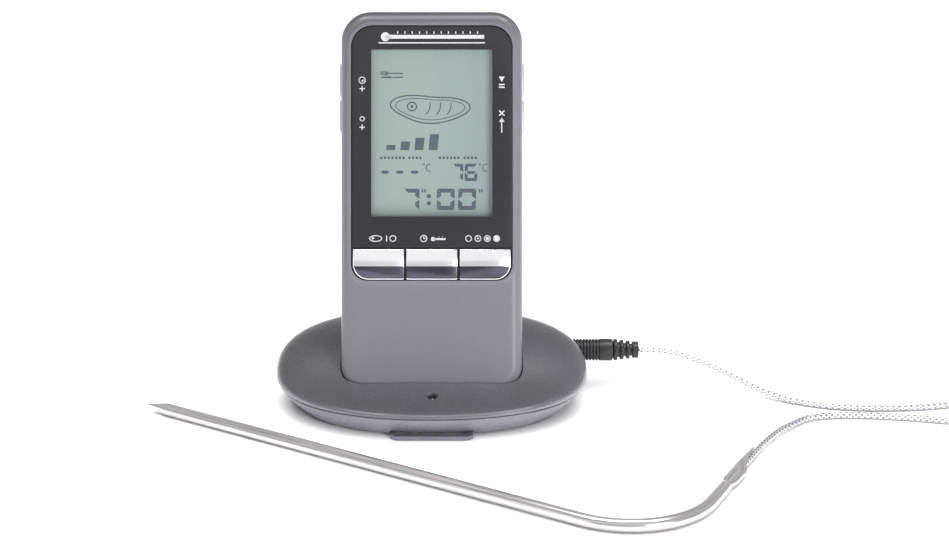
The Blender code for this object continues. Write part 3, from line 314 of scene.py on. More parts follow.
def apply_all(obj):
    """Bake the object's modifiers into its mesh."""
    graph = bpy.context.evaluated_depsgraph_get()
    mesh = bpy.data.meshes.new_from_object(obj.evaluated_get(graph))
    obj.modifiers.clear()
    obj.data = mesh
    return obj


def combine(obj, others, operation):
    """Cut, join or intersect solids, and remove the ones that were used up."""
    for other in others:
        modifier = obj.modifiers.new(other.name, "BOOLEAN")
        modifier.operation = operation
        modifier.solver = "MANIFOLD"
        modifier.object = other
    bpy.context.view_layer.update()
    apply_all(obj)
    for other in others:
        bpy.data.objects.remove(other, do_unlink=True)
    return obj


def cut(obj, *cutters):
    return combine(obj, cutters, "DIFFERENCE")


def weld(obj, *others):
    return combine(obj, others, "UNION")


def soften(obj, width, segments=2, angle=35):
    """Round the sharp edges by a small radius in metres, as a mould leaves them."""
    bevel = obj.modifiers.new("edge", "BEVEL")
    bevel.width = width
    bevel.segments = segments
    bevel.limit_method = "ANGLE"
    bevel.angle_limit = radians(angle)
    bevel.harden_normals = True
    return obj


def reshade(obj, sharp=32):
    """Shade smooth up to an angle in degrees, and sharp beyond it."""
    obj.data.shade_smooth()
    obj.data.set_sharp_from_angle(angle=radians(sharp))
    return obj


def dress(obj, material, body=None, replaces=()):
    """Give a piece its finish, and tell the frame what it stands for."""
    obj.data.materials.clear()
    obj.data.materials.append(material)
    if body is not None:
        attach(obj, body)
    if replaces:
        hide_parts(*replaces)
    return obj


def coat(node, material):
    """Give a node of the frame a finish."""
    obj = NODES[node]
    obj.data.materials.clear()
    obj.data.materials.append(material)
    return obj


# ---- finishes ---------------------------------------------------------------------------------
def node(tree, kind, links=(), values=(), **settings):
    """Add a node: links are (output, input), values are (input, value), settings its options."""
    made = tree.nodes.new(kind)
    for name, value in settings.items():
        setattr(made, name, value)
    for target, value in values:
        made.inputs[target].default_value = value
    for source, target in links:
        tree.links.new(source, made.inputs[target])
    return made


def shade(colour):
    """A setting's colour as it is, or a hex colour made linear."""
    return linear(colour) if isinstance(colour, str) else tuple(colour)


def finish_base(name, colour, roughness, metallic=0.0, ior=None):
    """A material with one shader, whose plain values sit on its own sockets."""
    material = bpy.data.materials.new(name)
    material.use_nodes = True
    tree = material.node_tree
    shader = tree.nodes["Principled BSDF"]
    shader.inputs["Base Color"].default_value = shade(colour)
    shader.inputs["Roughness"].default_value = roughness
    shader.inputs["Metallic"].default_value = metallic
    if ior is not None:
        shader.inputs["IOR"].default_value = ior
    return material, tree, shader


def space(tree, kind="Object"):
    """Object coordinates in metres, or UVs, which are in millimetres on the lead and probe."""
    return node(tree, "ShaderNodeTexCoord").outputs[kind]


def emboss(tree, shader, height, depth_mm):
    """Raise a pattern from the surface by a real depth."""
    bump = node(tree, "ShaderNodeBump", [(height, "Height")], [("Distance", depth_mm * MM)])
    tree.links.new(bump.outputs["Normal"], shader.inputs["Normal"])


def grain(tree, shader, size_mm, depth_mm, detail=2.0):
    """Raised grain of a real size; returns its pattern for colour or gloss to use."""
    noise = node(tree, "ShaderNodeTexNoise", [(space(tree), "Vector")],
                 [("Scale", 1 / (size_mm * MM)), ("Detail", detail)])
    emboss(tree, shader, noise.outputs["Fac"], depth_mm)
    return noise.outputs["Fac"]


def gloss(tree, pattern, shader, low, high):
    """Let the roughness follow a pattern between two values."""
    spread = node(tree, "ShaderNodeMapRange", [(pattern, "Value")],
                  [("From Min", 0.3), ("From Max", 0.7), ("To Min", low), ("To Max", high)])
    tree.links.new(spread.outputs["Result"], shader.inputs["Roughness"])


def tint(tree, pattern, shader, dark, light, start=0.3, end=0.7):
    """Run the base colour between two shades with a pattern; returns the colour ramp."""
    ramp = node(tree, "ShaderNodeValToRGB", [(pattern, "Fac")])
    low, high = ramp.color_ramp.elements
    low.position, low.color = start, shade(dark)
    high.position, high.color = end, shade(light)
    tree.links.new(ramp.outputs["Color"], shader.inputs["Base Color"])
    return ramp.color_ramp


def spark_textured_abs(name, dark, light, roughness, grain_mm):
    """Injection-moulded ABS from a spark-eroded mould: a dull, very fine grain all over.
    The real grain is about a tenth of a millimetre, and is drawn coarser so that it shows."""
    material, tree, shader = finish_base(name, light, roughness, ior=1.52)
    pattern = grain(tree, shader, grain_mm, 0.012, detail=3.0)
    tint(tree, pattern, shader, dark, light, 0.35, 0.65)
    gloss(tree, pattern, shader, roughness - 0.07, roughness + 0.07)
    return material


def printed_acrylic(name, colour, depth):
    """Acrylic sheet with black ink printed behind: deep, glossy and almost without grain."""
    material, tree, shader = finish_base(name, colour, 0.22, ior=1.49)
    pattern = grain(tree, shader, 25.0, 0.003, detail=0.0)
    tint(tree, pattern, shader, colour, depth)
    gloss(tree, pattern, shader, 0.2, 0.24)
    return material


def clear_acrylic(name):
    """Clear acrylic lens: nothing but a thin gloss over what lies behind it."""
    material, tree, shader = finish_base(name, "#ffffff", 0.03, ior=1.49)
    shader.inputs["Transmission Weight"].default_value = 1.0
    shader.inputs["Alpha"].default_value = 0.12
    pattern = grain(tree, shader, 30.0, 0.002, detail=0.0)
    gloss(tree, pattern, shader, 0.02, 0.05)
    return material


def crystal_with_painted_edge_shadow(name, left, middle, right):
    """Reflective liquid crystal cell: a flat grey green, with a painted shadow of the bezel that
    darkens it towards its right edge.
    """
    material, tree, shader = finish_base(name, middle, 0.35, ior=1.5)
    grain(tree, shader, 14.0, 0.002, detail=1.0)
    parts = node(tree, "ShaderNodeSeparateXYZ", [(space(tree), "Vector")])
    reach = (WINDOW_HALF + 0.9) * MM
    across = node(tree, "ShaderNodeMapRange", [(parts.outputs["X"], "Value")],
                  [("From Min", -reach), ("From Max", reach)])
    # painted shadow of the bezel: the colour darkens from the middle shade towards the window's
    # right edge
    ramp = tint(tree, across.outputs["Result"], shader, left, right, 0.8, 0.97)
    ramp.elements.new(0.35).color = shade(middle)
    return material


def crystal_ink(name, dark, light):
    """Switched liquid crystal: a flat, dark blue grey."""
    material, tree, shader = finish_base(name, light, 0.5)
    tint(tree, grain(tree, shader, 4.0, 0.0), shader, dark, light)
    return material


def screen_print(name, dark, light):
    """Screen-printed white ink: matt, slightly uneven."""
    material, tree, shader = finish_base(name, light, 0.55)
    tint(tree, grain(tree, shader, 0.4, 0.004), shader, dark, light)
    return material


def plated_chrome(name, dark, light, roughness):
    """Chrome plated over polished ABS: mirror-like, with the faintest orange peel."""
    material, tree, shader = finish_base(name, light, roughness, 1.0)
    pattern = grain(tree, shader, 12.0, 0.002, detail=0.0)
    tint(tree, pattern, shader, dark, light)
    gloss(tree, pattern, shader, roughness * 0.9, roughness * 1.15)
    return material


def drawn_stainless(name, dark, light, spacing_mm):
    """Drawn and polished stainless tube: bright, with fine draw lines along its length."""
    material, tree, shader = finish_base(name, light, 0.2, 1.0)
    stretch = node(tree, "ShaderNodeMapping", [(space(tree, "UV"), "Vector")],
                   [("Scale", (0.02, 1.0, 1.0))])
    lines = node(tree, "ShaderNodeTexNoise", [(stretch.outputs["Vector"], "Vector")],
                 [("Scale", 1 / spacing_mm), ("Detail", 2.0)])
    emboss(tree, shader, lines.outputs["Fac"], 0.004)
    tint(tree, lines.outputs["Fac"], shader, dark, light)
    gloss(tree, lines.outputs["Fac"], shader, 0.15, 0.24)
    return material


def braided_stainless(name, dark, light, pitch_mm):
    """Braid of bright stainless wires over the core: small lozenges that catch the light.
    The real wires are a fifth of this pitch, and are drawn coarser so that they show."""
    material, tree, shader = finish_base(name, light, 0.3, 1.0)
    source = space(tree, "UV")
    waves = []
    for slant in (1.0, -1.0):
        turned_uv = node(tree, "ShaderNodeMapping", [(source, "Vector")],
                         [("Rotation", (0.0, 0.0, slant * radians(50)))])
        wave = node(tree, "ShaderNodeTexWave", [(turned_uv.outputs["Vector"], "Vector")],
                    [("Scale", pi / (10 * pitch_mm))])
        waves.append(wave.outputs["Fac"])
    weave = node(tree, "ShaderNodeMath", [(waves[0], 0), (waves[1], 1)], operation="MAXIMUM")
    emboss(tree, shader, weave.outputs["Value"], 0.25)
    tint(tree, weave.outputs["Value"], shader, dark, light, 0.3, 0.85)
    return material


def moulded_pvc(name, dark, light):
    """Soft PVC moulded over the plug: black, slightly waxy."""
    material, tree, shader = finish_base(name, dark, 0.42, ior=1.53)
    pattern = grain(tree, shader, 0.5, 0.008)
    tint(tree, pattern, shader, dark, light)
    gloss(tree, pattern, shader, 0.36, 0.5)
    return material


def plain_finish(name, dark, light, roughness, metallic=0.0, grain_mm=0.6):
    """A finish that mostly shows through a gap: two close shades and a light grain."""
    material, tree, shader = finish_base(name, light, roughness, metallic)
    tint(tree, grain(tree, shader, grain_mm, 0.006), shader, dark, light)
    return material


def make_finishes(colours):
    """Every finish of the thermometer, by the short name that its pieces use."""
    case_mm, base_mm = colours.case_grain / MM, colours.base_grain / MM
    FINISH.update({
        "case": spark_textured_abs("grey_abs_case", colours.case_dark, colours.case_light, 0.36,
                                   case_mm),
        "pebble": spark_textured_abs("grey_abs_pebble", colours.base_dark, colours.base_light,
                                     0.3, base_mm),
        "under": spark_textured_abs("grey_abs_under", "#7d7c86", "#86858f", 0.5, case_mm),
        "panel": printed_acrylic("black_printed_acrylic", colours.panel, "#2e2d32"),
        "lens": clear_acrylic("clear_acrylic"),
        # the crystal's two outer shades paint the bezel's shadow towards its right edge
        "crystal": crystal_with_painted_edge_shadow("crystal_with_painted_edge_shadow", "#9fb2ae", colours.crystal, "#9dafaf"),
        "ink": crystal_ink("crystal_segments", "#4e5f64", colours.segments),
        "print": screen_print("white_screen_print", "#e6e6ea", colours.print_ink),
        "chrome": plated_chrome("chromed_abs", "#eeeef2", colours.chrome, 0.16),
        # a darker copy of the chrome for the keys' lower facets: a painted dark reflection
        "painted_dark_reflection": plated_chrome("chrome_painted_dark_reflection", "#4a4951", "#56555e", 0.22),
        "satin": plated_chrome("satin_silver", "#b0b0b1", colours.satin, 0.35),
        "steel": drawn_stainless("drawn_stainless", "#b7b3b5", colours.steel,
                                 colours.draw_spacing / MM),
        "braid": braided_stainless("braided_stainless", "#77767a", colours.braid,
                                   colours.braid_pitch / MM),
        "pvc": moulded_pvc("black_pvc", "#151417", colours.plug),
        # cast epoxy, dark red and glossy while it isn't lit
        "lamp": plain_finish("red_lamp_epoxy", "#2a1d22", "#36262b", 0.12, grain_mm=3.0),
        # solder mask over laminate, a deep green with a slight sheen
        "board": plain_finish("green_solder_mask", "#174d2b", "#1f5c35", 0.3, grain_mm=1.2),
        # plated and stamped spring steel, a warm bright grey
        "nickel": plain_finish("nickel_plate", "#b5b3ad", "#cfcdc6", 0.25, 1.0, 0.3),
        # zinc-plated screws, a cooler and greyer metal
        "zinc": plain_finish("zinc_plated_steel", "#8d8d90", "#b3b3b6", 0.3, 1.0, 0.3),
        # lacquered winding wire, a brownish copper
        "copper": plain_finish("enamelled_copper", "#8f4a22", "#b5652f", 0.3, 1.0, 0.4),
        # printed film shrunk over a cell, dark blue and smooth
        "wrap": plain_finish("printed_cell_wrap", "#1d2a3a", "#23364c", 0.3, grain_mm=5.0),
        # pressed silicone, a matt grey
        "rubber": plain_finish("grey_silicone", "#8b8b88", "#9a9a96", 0.75, grain_mm=0.8),
        # moulded holder and switches, a dull ivory
        "frame": plain_finish("ivory_moulding", "#c9c7be", "#d6d4cb", 0.5, grain_mm=0.7),
        # moulded in black, half glossy
        "black": plain_finish("black_moulding", "#17171a", "#222226", 0.4, grain_mm=0.5),
    })


# ---- the base's surface -----------------------------------------------------------------------
def outline_point(angle, a, b):
    """A point of the base's outline, between an ellipse and a rectangle."""
    c, s = cos(angle), sin(angle)
    power = 2 / SQUARENESS
    return (a * abs(c) ** power * (1 if c >= 0 else -1),
            b * abs(s) ** power * (1 if s >= 0 else -1))


def dome_height(y, rise):
    """Height of the dome at a given y, from the girth (rise 0) to the crown (rise 1)."""
    climb = 1 / (1 + exp(-RISE_STEEPNESS * (y - RISE_MIDDLE)))
    crown = FRONT_CROWN + CROWN_RISE * climb
    girth = GIRTH_HEIGHT - FRONT_DROP * min(max(-y / BASE_WIDE, 0.0), 1.0) ** 2
    return girth + (crown - girth) * rise


def dome_rings(inset, steps):
    """Rings from the girth up to the crown, set in by a wall."""
    rings = []
    for step in range(steps + 1):
        angle = radians(88.5) * step / steps
        share = cos(angle) ** (2 / DOME_POWER)
        rise = sin(angle) ** (2 / DOME_POWER)
        ring = []
        for i in range(BASE_FACETS):
            x, y = outline_point(2 * pi * i / BASE_FACETS, BASE_LONG - inset, BASE_WIDE - inset)
            ring.append((share * x, share * y, dome_height(share * y, rise) - inset))
        rings.append(ring)
    return rings


def level_ring(z, inset):
    """The base's outline at a height below the girth, set in by a wall or an eased edge."""
    below = min(max((GIRTH_HEIGHT - z) / GIRTH_HEIGHT, 0.0), 1.0)
    share = 1 - (1 - FOOT_SHARE) * below ** FOOT_POWER
    points = [outline_point(2 * pi * i / BASE_FACETS, BASE_LONG * share - inset,
                            BASE_WIDE * share - inset) for i in range(BASE_FACETS)]
    return [(x, y, z) for x, y in points]


def dome_surface(x, y):
    """Height of the dome's outside over a point of the floor."""
    share = (abs(x / BASE_LONG) ** SQUARENESS + abs(y / BASE_WIDE) ** SQUARENESS) ** (
        1 / SQUARENESS)
    return dome_height(y, max(1 - share ** DOME_POWER, 0.0) ** (1 / DOME_POWER))


def wall_x(y):
    """How far the girth reaches sideways at a given y."""
    return BASE_LONG * (1 - abs(y / BASE_WIDE) ** SQUARENESS) ** (1 / SQUARENESS)


# ---- the handset's slab -----------------------------------------------------------------------
def slab(name, front, back, grow, front_round, back_round, start=None, stop=None,
         steps=8, corner=12, seam_edge=0.0):
    """The handset's rounded slab between two depths, with its open end eased by seam_edge."""
    turns = [pi / 2 * i / steps for i in range(steps + 1)]
    rings = [(front + front_round * (1 - cos(turn)), front_round * (1 - sin(turn)))
             for turn in turns]
    rings += [(back - back_round * (1 - sin(turn)), back_round * (1 - cos(turn)))
              for turn in turns]
    inside = [ring for ring in rings
              if (start is None or ring[0] > start + 0.01) and (stop is None or ring[0] < stop)]
    if start is not None:
        inside.insert(0, (start + seam_edge, 0.0))
        if seam_edge:
            inside.insert(0, (start, seam_edge))
    if stop is not None:
        inside.append((stop - seam_edge, 0.0))
        if seam_edge:
            inside.append((stop, seam_edge))
    made = []
    for depth, inset in inside:
        size = grow - inset
        outline = round_rect((-HALF - size, HALF + size), (-size, LENGTH + size),
                             TOP_CORNER + size, BOTTOM_CORNER + size, corner)
        made.append([(x, depth, z) for x, z in outline])
    return loft(name, made, HANDSET_AXES)


def grown_slab(name, grow):
    """The whole handset's slab, grown by a clearance or a wall."""
    return slab(name, -grow, THICKNESS + grow, grow, FRONT_ROUND + grow, BACK_ROUND + grow)


def side_slots(margin):
    """Cutters for the four side keys' openings."""
    cutters = []
    for side in (-1, 1):
        for middle in SIDE_KEY_MIDDLES:
            reach = SIDE_KEY_LENGTH / 2 + margin
            deep = SIDE_KEY_DEPTH / 2 + margin
            outline = round_rect((-reach, reach), (-deep, deep), 1.3, 1.3, 4)
            ends = (side * (HALF - WALL - 1.5), side * (HALF + 2))
            cutters.append(loft("slot", [[(x, SEAM_DEPTH + b, middle + a) for a, b in outline]
                                         for x in ends], HANDSET_AXES))
    return cutters


# ---- makers -----------------------------------------------------------------------------------
def make_base_upper(edges):
    """The dome with the handset's pocket, the lamp's hole and the plug's hole."""
    seam = SEAM_HEIGHT + SEAM_GAP
    rim = [level_ring(seam, BASE_SEAM_EDGE), level_ring(seam + BASE_SEAM_EDGE, 0)]
    shell = loft("base_upper", rim + dome_rings(0, 22), split=True)
    low_tub = grown_slab("low_tub", POCKET_CLEARANCE + POCKET_WALL + 0.1)
    combine(low_tub, [block("limit", (-90, 90), (-90, 90), (-5, SEAM_HEIGHT + 2))], "INTERSECT")
    cavity = loft("cavity", [level_ring(seam - 4, BASE_WALL)] + dome_rings(BASE_WALL, 16),
                  split=True)
    cut(cavity, grown_slab("tub", POCKET_CLEARANCE + POCKET_WALL))
    weld(shell, low_tub)
    cut(shell, cavity, grown_slab("pocket", POCKET_CLEARANCE))
    wall = wall_x(PLUG_Y)
    plug_hole = ((wall - 6, PLUG_HOLE), (wall - 0.5, PLUG_HOLE), (wall + 0.4, PLUG_HOLE + 0.5),
                 (wall + 9, PLUG_HOLE + 0.8))
    lamp_hole = ((-9, LED_HOLE), (-0.4, LED_HOLE), (0.15, LED_HOLE + 0.5), (6, LED_HOLE + 1.0))
    cut(shell, turned("plug_hole", plug_hole, "X", (0, PLUG_Y, PLUG_Z), 64),
        turned("lamp_hole", lamp_hole, "Z", (0, LED_Y, dome_surface(0, LED_Y)), 48,
               tilt=LED_TILT))
    reshade(soften(shell, edges.base_upper, 2, 50), 40)
    dress(shell, FINISH["pebble"], "base", ["base_top_shell"])


def make_base_lower(edges):
    """The tray below the seam, with its battery bay, the loop's channel and screw posts."""
    seam = SEAM_HEIGHT - SEAM_GAP
    levels = [0.45, 1.4, 2.6, 3.8, 5.0, 6.2, seam - BASE_SEAM_EDGE]
    rings = [level_ring(0, 0.35), level_ring(0.12, 0.1)]
    rings += [level_ring(z, 0) for z in levels] + [level_ring(seam, BASE_SEAM_EDGE)]
    shell = loft("base_lower", rings)
    cavity = loft("cavity", [level_ring(z, BASE_WALL)
                             for z in (BASE_WALL, seam * 0.65, seam, seam + 2)])
    door_low, door_high = (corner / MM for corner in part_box("base_battery_door"))
    loop_low, loop_high = (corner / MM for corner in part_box("hanging_loop"))
    keep = [turned("standoff", ((0, BOSS_RADIUS), (seam, BOSS_RADIUS)), "Z", (x, y, 0), 32)
            for x, y in BASE_SCREWS]
    loop_roof = loop_high.z + GAP
    keep.append(block("loop_roof", (loop_low.x - 2, loop_high.x + 2),
                      (loop_low.y - 4, loop_high.y + 2), (0, loop_roof + DOOR_ROOF)))
    door_roof = door_high.z + GAP
    reach = door_high.y + BASE_DOOR_TRAVEL + GAP
    keep.append(block("door_roof", (door_low.x - 2, door_high.x + 2),
                      (door_high.y - 1.5, reach + 6), (0, door_roof + DOOR_ROOF)))
    cut(cavity, *keep)
    cutters = [cavity,
               block("loop_channel", (loop_low.x - GAP, loop_high.x + GAP),
                     (loop_low.y - 20, loop_high.y + GAP), (-1, loop_roof)),
               block("door", (door_low.x - GAP, door_high.x + GAP),
                     (door_low.y - GAP, door_high.y - 1.5), (-1, 5)),
               block("door_recess", (door_low.x - GAP, door_high.x + GAP),
                     (door_low.y - GAP, reach), (-1, door_roof))]
    for x, y in BASE_SCREWS:
        cutters.append(turned("bore", ((-1, SCREW_BORE), (seam + 1, SCREW_BORE)), "Z",
                              (x, y, 0), 24))
        cutters.append(turned("sink", ((-1, SCREW_HEAD + GAP), (SINK_DEPTH, SCREW_HEAD + GAP)),
                              "Z", (x, y, 0), 40))
    cut(shell, *cutters)
    reshade(soften(shell, edges.base_lower, 2, 50), 40)
    dress(shell, FINISH["pebble"], "base", ["base_bottom_shell"])


def make_case_front(edges):
    """The front shell: a raised lip round the recess that holds the panel and the keys."""
    stop = SEAM_DEPTH - SEAM_GAP
    shell = slab("case_front", 0, THICKNESS, 0, FRONT_ROUND, BACK_ROUND, stop=stop,
                 seam_edge=CASE_SEAM_EDGE)
    cavity = slab("cavity", WALL, THICKNESS, -WALL, FRONT_ROUND - WALL, BACK_ROUND,
                  stop=stop + 2)
    posts = [turned("boss", ((0, BOSS_RADIUS), (stop + 4, BOSS_RADIUS)), "Y", (x, 0, z), 32,
                    HANDSET_AXES) for x, z in SCREW_PLACES]
    cut(cavity, *posts)
    lip = soft_plate("lip", (-RECESS_HALF - LIP_WIDTH, RECESS_HALF + LIP_WIDTH),
                     (RECESS_BOTTOM - LIP_WIDTH, RECESS_TOP + LIP_WIDTH),
                     (-LIP_HEIGHT, WALL - 0.4), RECESS_CORNER + LIP_WIDTH,
                     KEY_CORNER + LIP_WIDTH, LIP_ROUND, 16)
    weld(shell, lip)
    recess = soft_plate("recess", (-RECESS_HALF, RECESS_HALF), (RECESS_BOTTOM, RECESS_TOP),
                        (-LIP_HEIGHT - 1, RECESS_DEPTH), RECESS_CORNER, KEY_CORNER, 0.01, 16)
    opening = soft_plate("opening", (-WINDOW_HALF - WINDOW_LEDGE, WINDOW_HALF + WINDOW_LEDGE),
                         (WINDOW_BOTTOM - WINDOW_LEDGE, WINDOW_TOP + WINDOW_LEDGE),
                         (-2, WALL + 1), 0.5, 0.5, 0.01)
    cutters = [cavity, recess, opening]
    wide, high = STEM_HALF + GAP, STEM_HALF_HEIGHT + GAP
    for i in (-1, 0, 1):
        x = i * KEY_PITCH
        cutters.append(block("stem", (x - wide, x + wide), (-1, WALL + 1),
                             (KEY_MIDDLE - high, KEY_MIDDLE + high), HANDSET_AXES))
    cutters += side_slots(0.2)
    cut(shell, *cutters)
    reshade(soften(shell, edges.case, 2, 50), 40)
    dress(shell, FINISH["case"], "handset", ["handset_front_shell"])
    # black on the recess's floor and walls is painted shade for the gaps round the keys
    paint_recess_gap_shade(shell)


def paint_recess_gap_shade(shell):
    """The recess that the panel and the keys sit in takes black on its floor and walls: painted
    shade for the dark gap round the keys.
    """
    shell.data.materials.append(FINISH["panel"])
    to_handset = HANDSET_AXES.inverted()
    for polygon in shell.data.polygons:
        centre = (to_handset @ polygon.center) / MM
        corner = RECESS_CORNER if centre.z > LENGTH / 2 else KEY_CORNER
        middle = (RECESS_TOP + RECESS_BOTTOM) / 2
        across = abs(centre.x) - (RECESS_HALF - corner)
        along = abs(centre.z - middle) - ((RECESS_TOP - RECESS_BOTTOM) / 2 - corner)
        away = (hypot(max(across, 0.0), max(along, 0.0)) + min(max(across, along), 0.0)
                - corner)
        if away < 0.05 and -0.3 < centre.y < RECESS_DEPTH + 0.3:
            polygon.material_index = 1


def make_case_back(edges):
    """The back shell: battery bay, sound slots and screw posts."""
    start = SEAM_DEPTH + SEAM_GAP
    shell = slab("case_back", 0, THICKNESS, 0, FRONT_ROUND, BACK_ROUND, start=start,
                 seam_edge=CASE_SEAM_EDGE)
    cavity = slab("cavity", 0, THICKNESS - WALL, -WALL, FRONT_ROUND, BACK_ROUND - WALL,
                  start=start - 2)
    half = 2 * CELL_RADIUS + GAP + 1.5
    low, high = CASE_DOOR_LOW, CASE_DOOR_HIGH
    thumb = THUMB_DEPTH + GAP
    keep = [turned("boss", ((start - 4, BOSS_RADIUS), (THICKNESS, BOSS_RADIUS)), "Y",
                   (x, 0, z), 32, HANDSET_AXES) for x, z in SCREW_PLACES]
    keep.append(block("thumb_floor", (-half - 2, half + 2),
                      (THICKNESS - thumb - DOOR_ROOF, THICKNESS),
                      (low - CASE_DOOR_TRAVEL - 2, low + 1.5), HANDSET_AXES))
    cut(cavity, *keep)
    cutters = [cavity,
               block("door", (-half - GAP, half + GAP), (THICKNESS - 4, THICKNESS + 1),
                     (low + 1.5, high + GAP), HANDSET_AXES),
               block("thumb", (-half - GAP, half + GAP), (THICKNESS - thumb, THICKNESS + 1),
                     (low - CASE_DOOR_TRAVEL - GAP, low + 2), HANDSET_AXES)]
    for x, z in SCREW_PLACES:
        cutters.append(turned("bore", ((start - 1, SCREW_BORE), (THICKNESS, SCREW_BORE)), "Y",
                              (x, 0, z), 24, HANDSET_AXES))
        cutters.append(turned("sink", ((THICKNESS - SINK_DEPTH, SCREW_HEAD + GAP),
                                       (THICKNESS + 1, SCREW_HEAD + GAP)), "Y",
                              (x, 0, z), 40, HANDSET_AXES))
    for i in range(VENT_COUNT):
        z = VENT_START + VENT_PITCH * i
        x = (-9.0, 9.0) if i % 2 == 0 else (-8.0, 8.0)
        cutters.append(block("vent", x, (THICKNESS - 0.5, THICKNESS + 1), (z, z + 0.7),
                             HANDSET_AXES))
    cutters += side_slots(0.2)
    cut(shell, *cutters)
    reshade(soften(shell, edges.case, 2, 50), 40)
    dress(shell, FINISH["case"], "handset", ["handset_back_shell"])


def flat_shapes(name, outlines, depth, thickness, material):
    """Thin printed or switched shapes that lie on one depth of the handset."""
    bm = bmesh.new()
    for outline in outlines:
        front = [bm.verts.new((x, depth, z)) for x, z in outline]
        back = [bm.verts.new((x, depth + thickness, z)) for x, z in outline]
        count = len(outline)
        for i in range(count):
            j = (i + 1) % count
            bm.faces.new((front[i], front[j], back[j], back[i]))
        bm.faces.new(front)
        bm.faces.new(list(reversed(back)))
    obj = settle(name, bm, HANDSET_AXES, smooth=False)
    return dress(obj, material, "handset", ())


def bar(x, z, radius=0.0):
    """Outline of a plain or rounded bar."""
    if radius:
        return round_rect(x, z, radius, radius, 4)
    return [(x[0], z[0]), (x[1], z[0]), (x[1], z[1]), (x[0], z[1])]


def block_row(x, z, count, width, gap):
    """A row of plain blocks as long as a short label, which says nothing."""
    scale = (x[1] - x[0]) / (count * width + gap * (count - 1))
    starts = [x[0] + i * (width + gap) * scale for i in range(count)]
    return [bar((start, start + width * scale), z, 0.25) for start in starts]


# the bars that each figure lights, lettered clockwise from the top, with g in the middle
SEGMENTS = {"0": "abcdef", "6": "acdefg", "7": "abc"}
# figure, left side, foot, width, height and stroke
DIGITS = (("7", -9.4, 60.2, 5.2, 7.1, 1.35), ("0", 1.6, 60.2, 5.9, 7.1, 1.35),
          ("0", 8.7, 60.2, 5.9, 7.1, 1.35), ("7", 6.9, 69.8, 3.5, 5.8, 1.05),
          ("6", 10.9, 69.8, 4.2, 5.8, 1.05))


def seven_segment(figure, x, z, width, height, t):
    """Bars of one figure, t thick: long on the outside, mitred to the inside."""
    slant = 0.02
    gap = 0.13
    middle = height / 2
    made = []
    for key in SEGMENTS[figure]:
        if key in "ad":
            rim, core = (height, height - t) if key == "a" else (0, t)
            points = [(gap, rim), (width - gap, rim), (width - t, core), (t, core)]
        elif key == "g":
            points = [(gap + t / 2, middle), (t, middle + t / 2), (width - t, middle + t / 2),
                      (width - gap - t / 2, middle), (width - t, middle - t / 2),
                      (t, middle - t / 2)]
        else:
            rim, core = (0, t) if key in "ef" else (width, width - t)
            if key in "bf":
                points = [(rim, middle + gap), (rim, height - gap), (core, height - t),
                          (core, middle + t * 0.75)]
            else:
                points = [(rim, middle - gap), (rim, gap), (core, t), (core, middle - t * 0.75)]
        made.append([(x + a + slant * b, z + b) for a, b in points])
    return made


def ribbon(points, width, closed=False):
    """Quads along a line of points, as thin drawn strokes."""
    made = []
    count = len(points)
    for i in range(count if closed else count - 1):
        a, b = Vector(points[i]), Vector(points[(i + 1) % count])
        along = (b - a).normalized()
        side = Vector((-along.y, along.x)) * width / 2
        reach = along * width * 0.2
        made.append([tuple(a - side - reach), tuple(b - side + reach),
                     tuple(b + side + reach), tuple(a + side - reach)])
    return made


def ring_points(x, z, rx, rz, steps):
    """Points round an ellipse."""
    return [(x + rx * cos(2 * pi * i / steps), z + rz * sin(2 * pi * i / steps))
            for i in range(steps)]


def degree_mark(x, top):
    """The small ring and the open bow of a temperature unit."""
    marks = ribbon(ring_points(x + 0.4, top - 0.35, 0.3, 0.3, 10), 0.2, True)
    return marks + ribbon([(x + 2.7, top - 0.5), (x + 2.3, top - 0.2), (x + 1.5, top - 0.4),
                           (x + 1.2, top - 1.5), (x + 1.5, top - 2.5), (x + 2.5, top - 2.6)],
                          0.28)


def steak_icon():
    """A plain cut of meat: rim of fat, round bone and three strokes of grain."""
    x, z = -0.6, 93.9
    steps = 56
    outline = []
    for i in range(steps):
        angle = 2 * pi * i / steps
        bulge = 1 + 0.13 * cos(2 * angle + 0.5) + 0.1 * sin(3 * angle + 0.3)
        outline.append((x + 11.6 * bulge * cos(angle), z + 5.0 * bulge * sin(angle)))
    inner = [(x + (a - x) * 0.87, z + (b - z) * 0.76) for a, b in outline]
    marks = ribbon(outline, 0.42, True) + ribbon(inner, 0.26, True)
    marks += ribbon(ring_points(x - 6.0, z + 0.7, 1.5, 1.4, 22), 0.42, True)
    marks += [ring_points(x - 6.0, z + 0.7, 0.5, 0.5, 12)]
    for start in (x - 1.3, x + 2.2, x + 5.7):
        marks += ribbon([(start, z - 1.9), (start + 0.9, z - 0.7), (start + 1.3, z + 0.7),
                         (start + 1.3, z + 2.0)], 0.34)
    return marks


def cutlery_icon(x, z):
    """A fork and a knife lying one over the other."""
    fork = [bar((x + 2.3, x + 7.4), (z + 1.45, z + 1.85)),
            bar((x + 1.7, x + 2.3), (z + 1.1, z + 2.2))]
    fork += [bar((x, x + 1.8), (z + level, z + level + 0.26)) for level in (1.05, 1.52, 1.99)]
    knife = [[(x, z + 0.15), (x + 3.6, z), (x + 3.6, z + 0.65), (x + 0.7, z + 0.65)],
             bar((x + 3.9, x + 7.4), (z + 0.12, z + 0.55))]
    return fork + knife


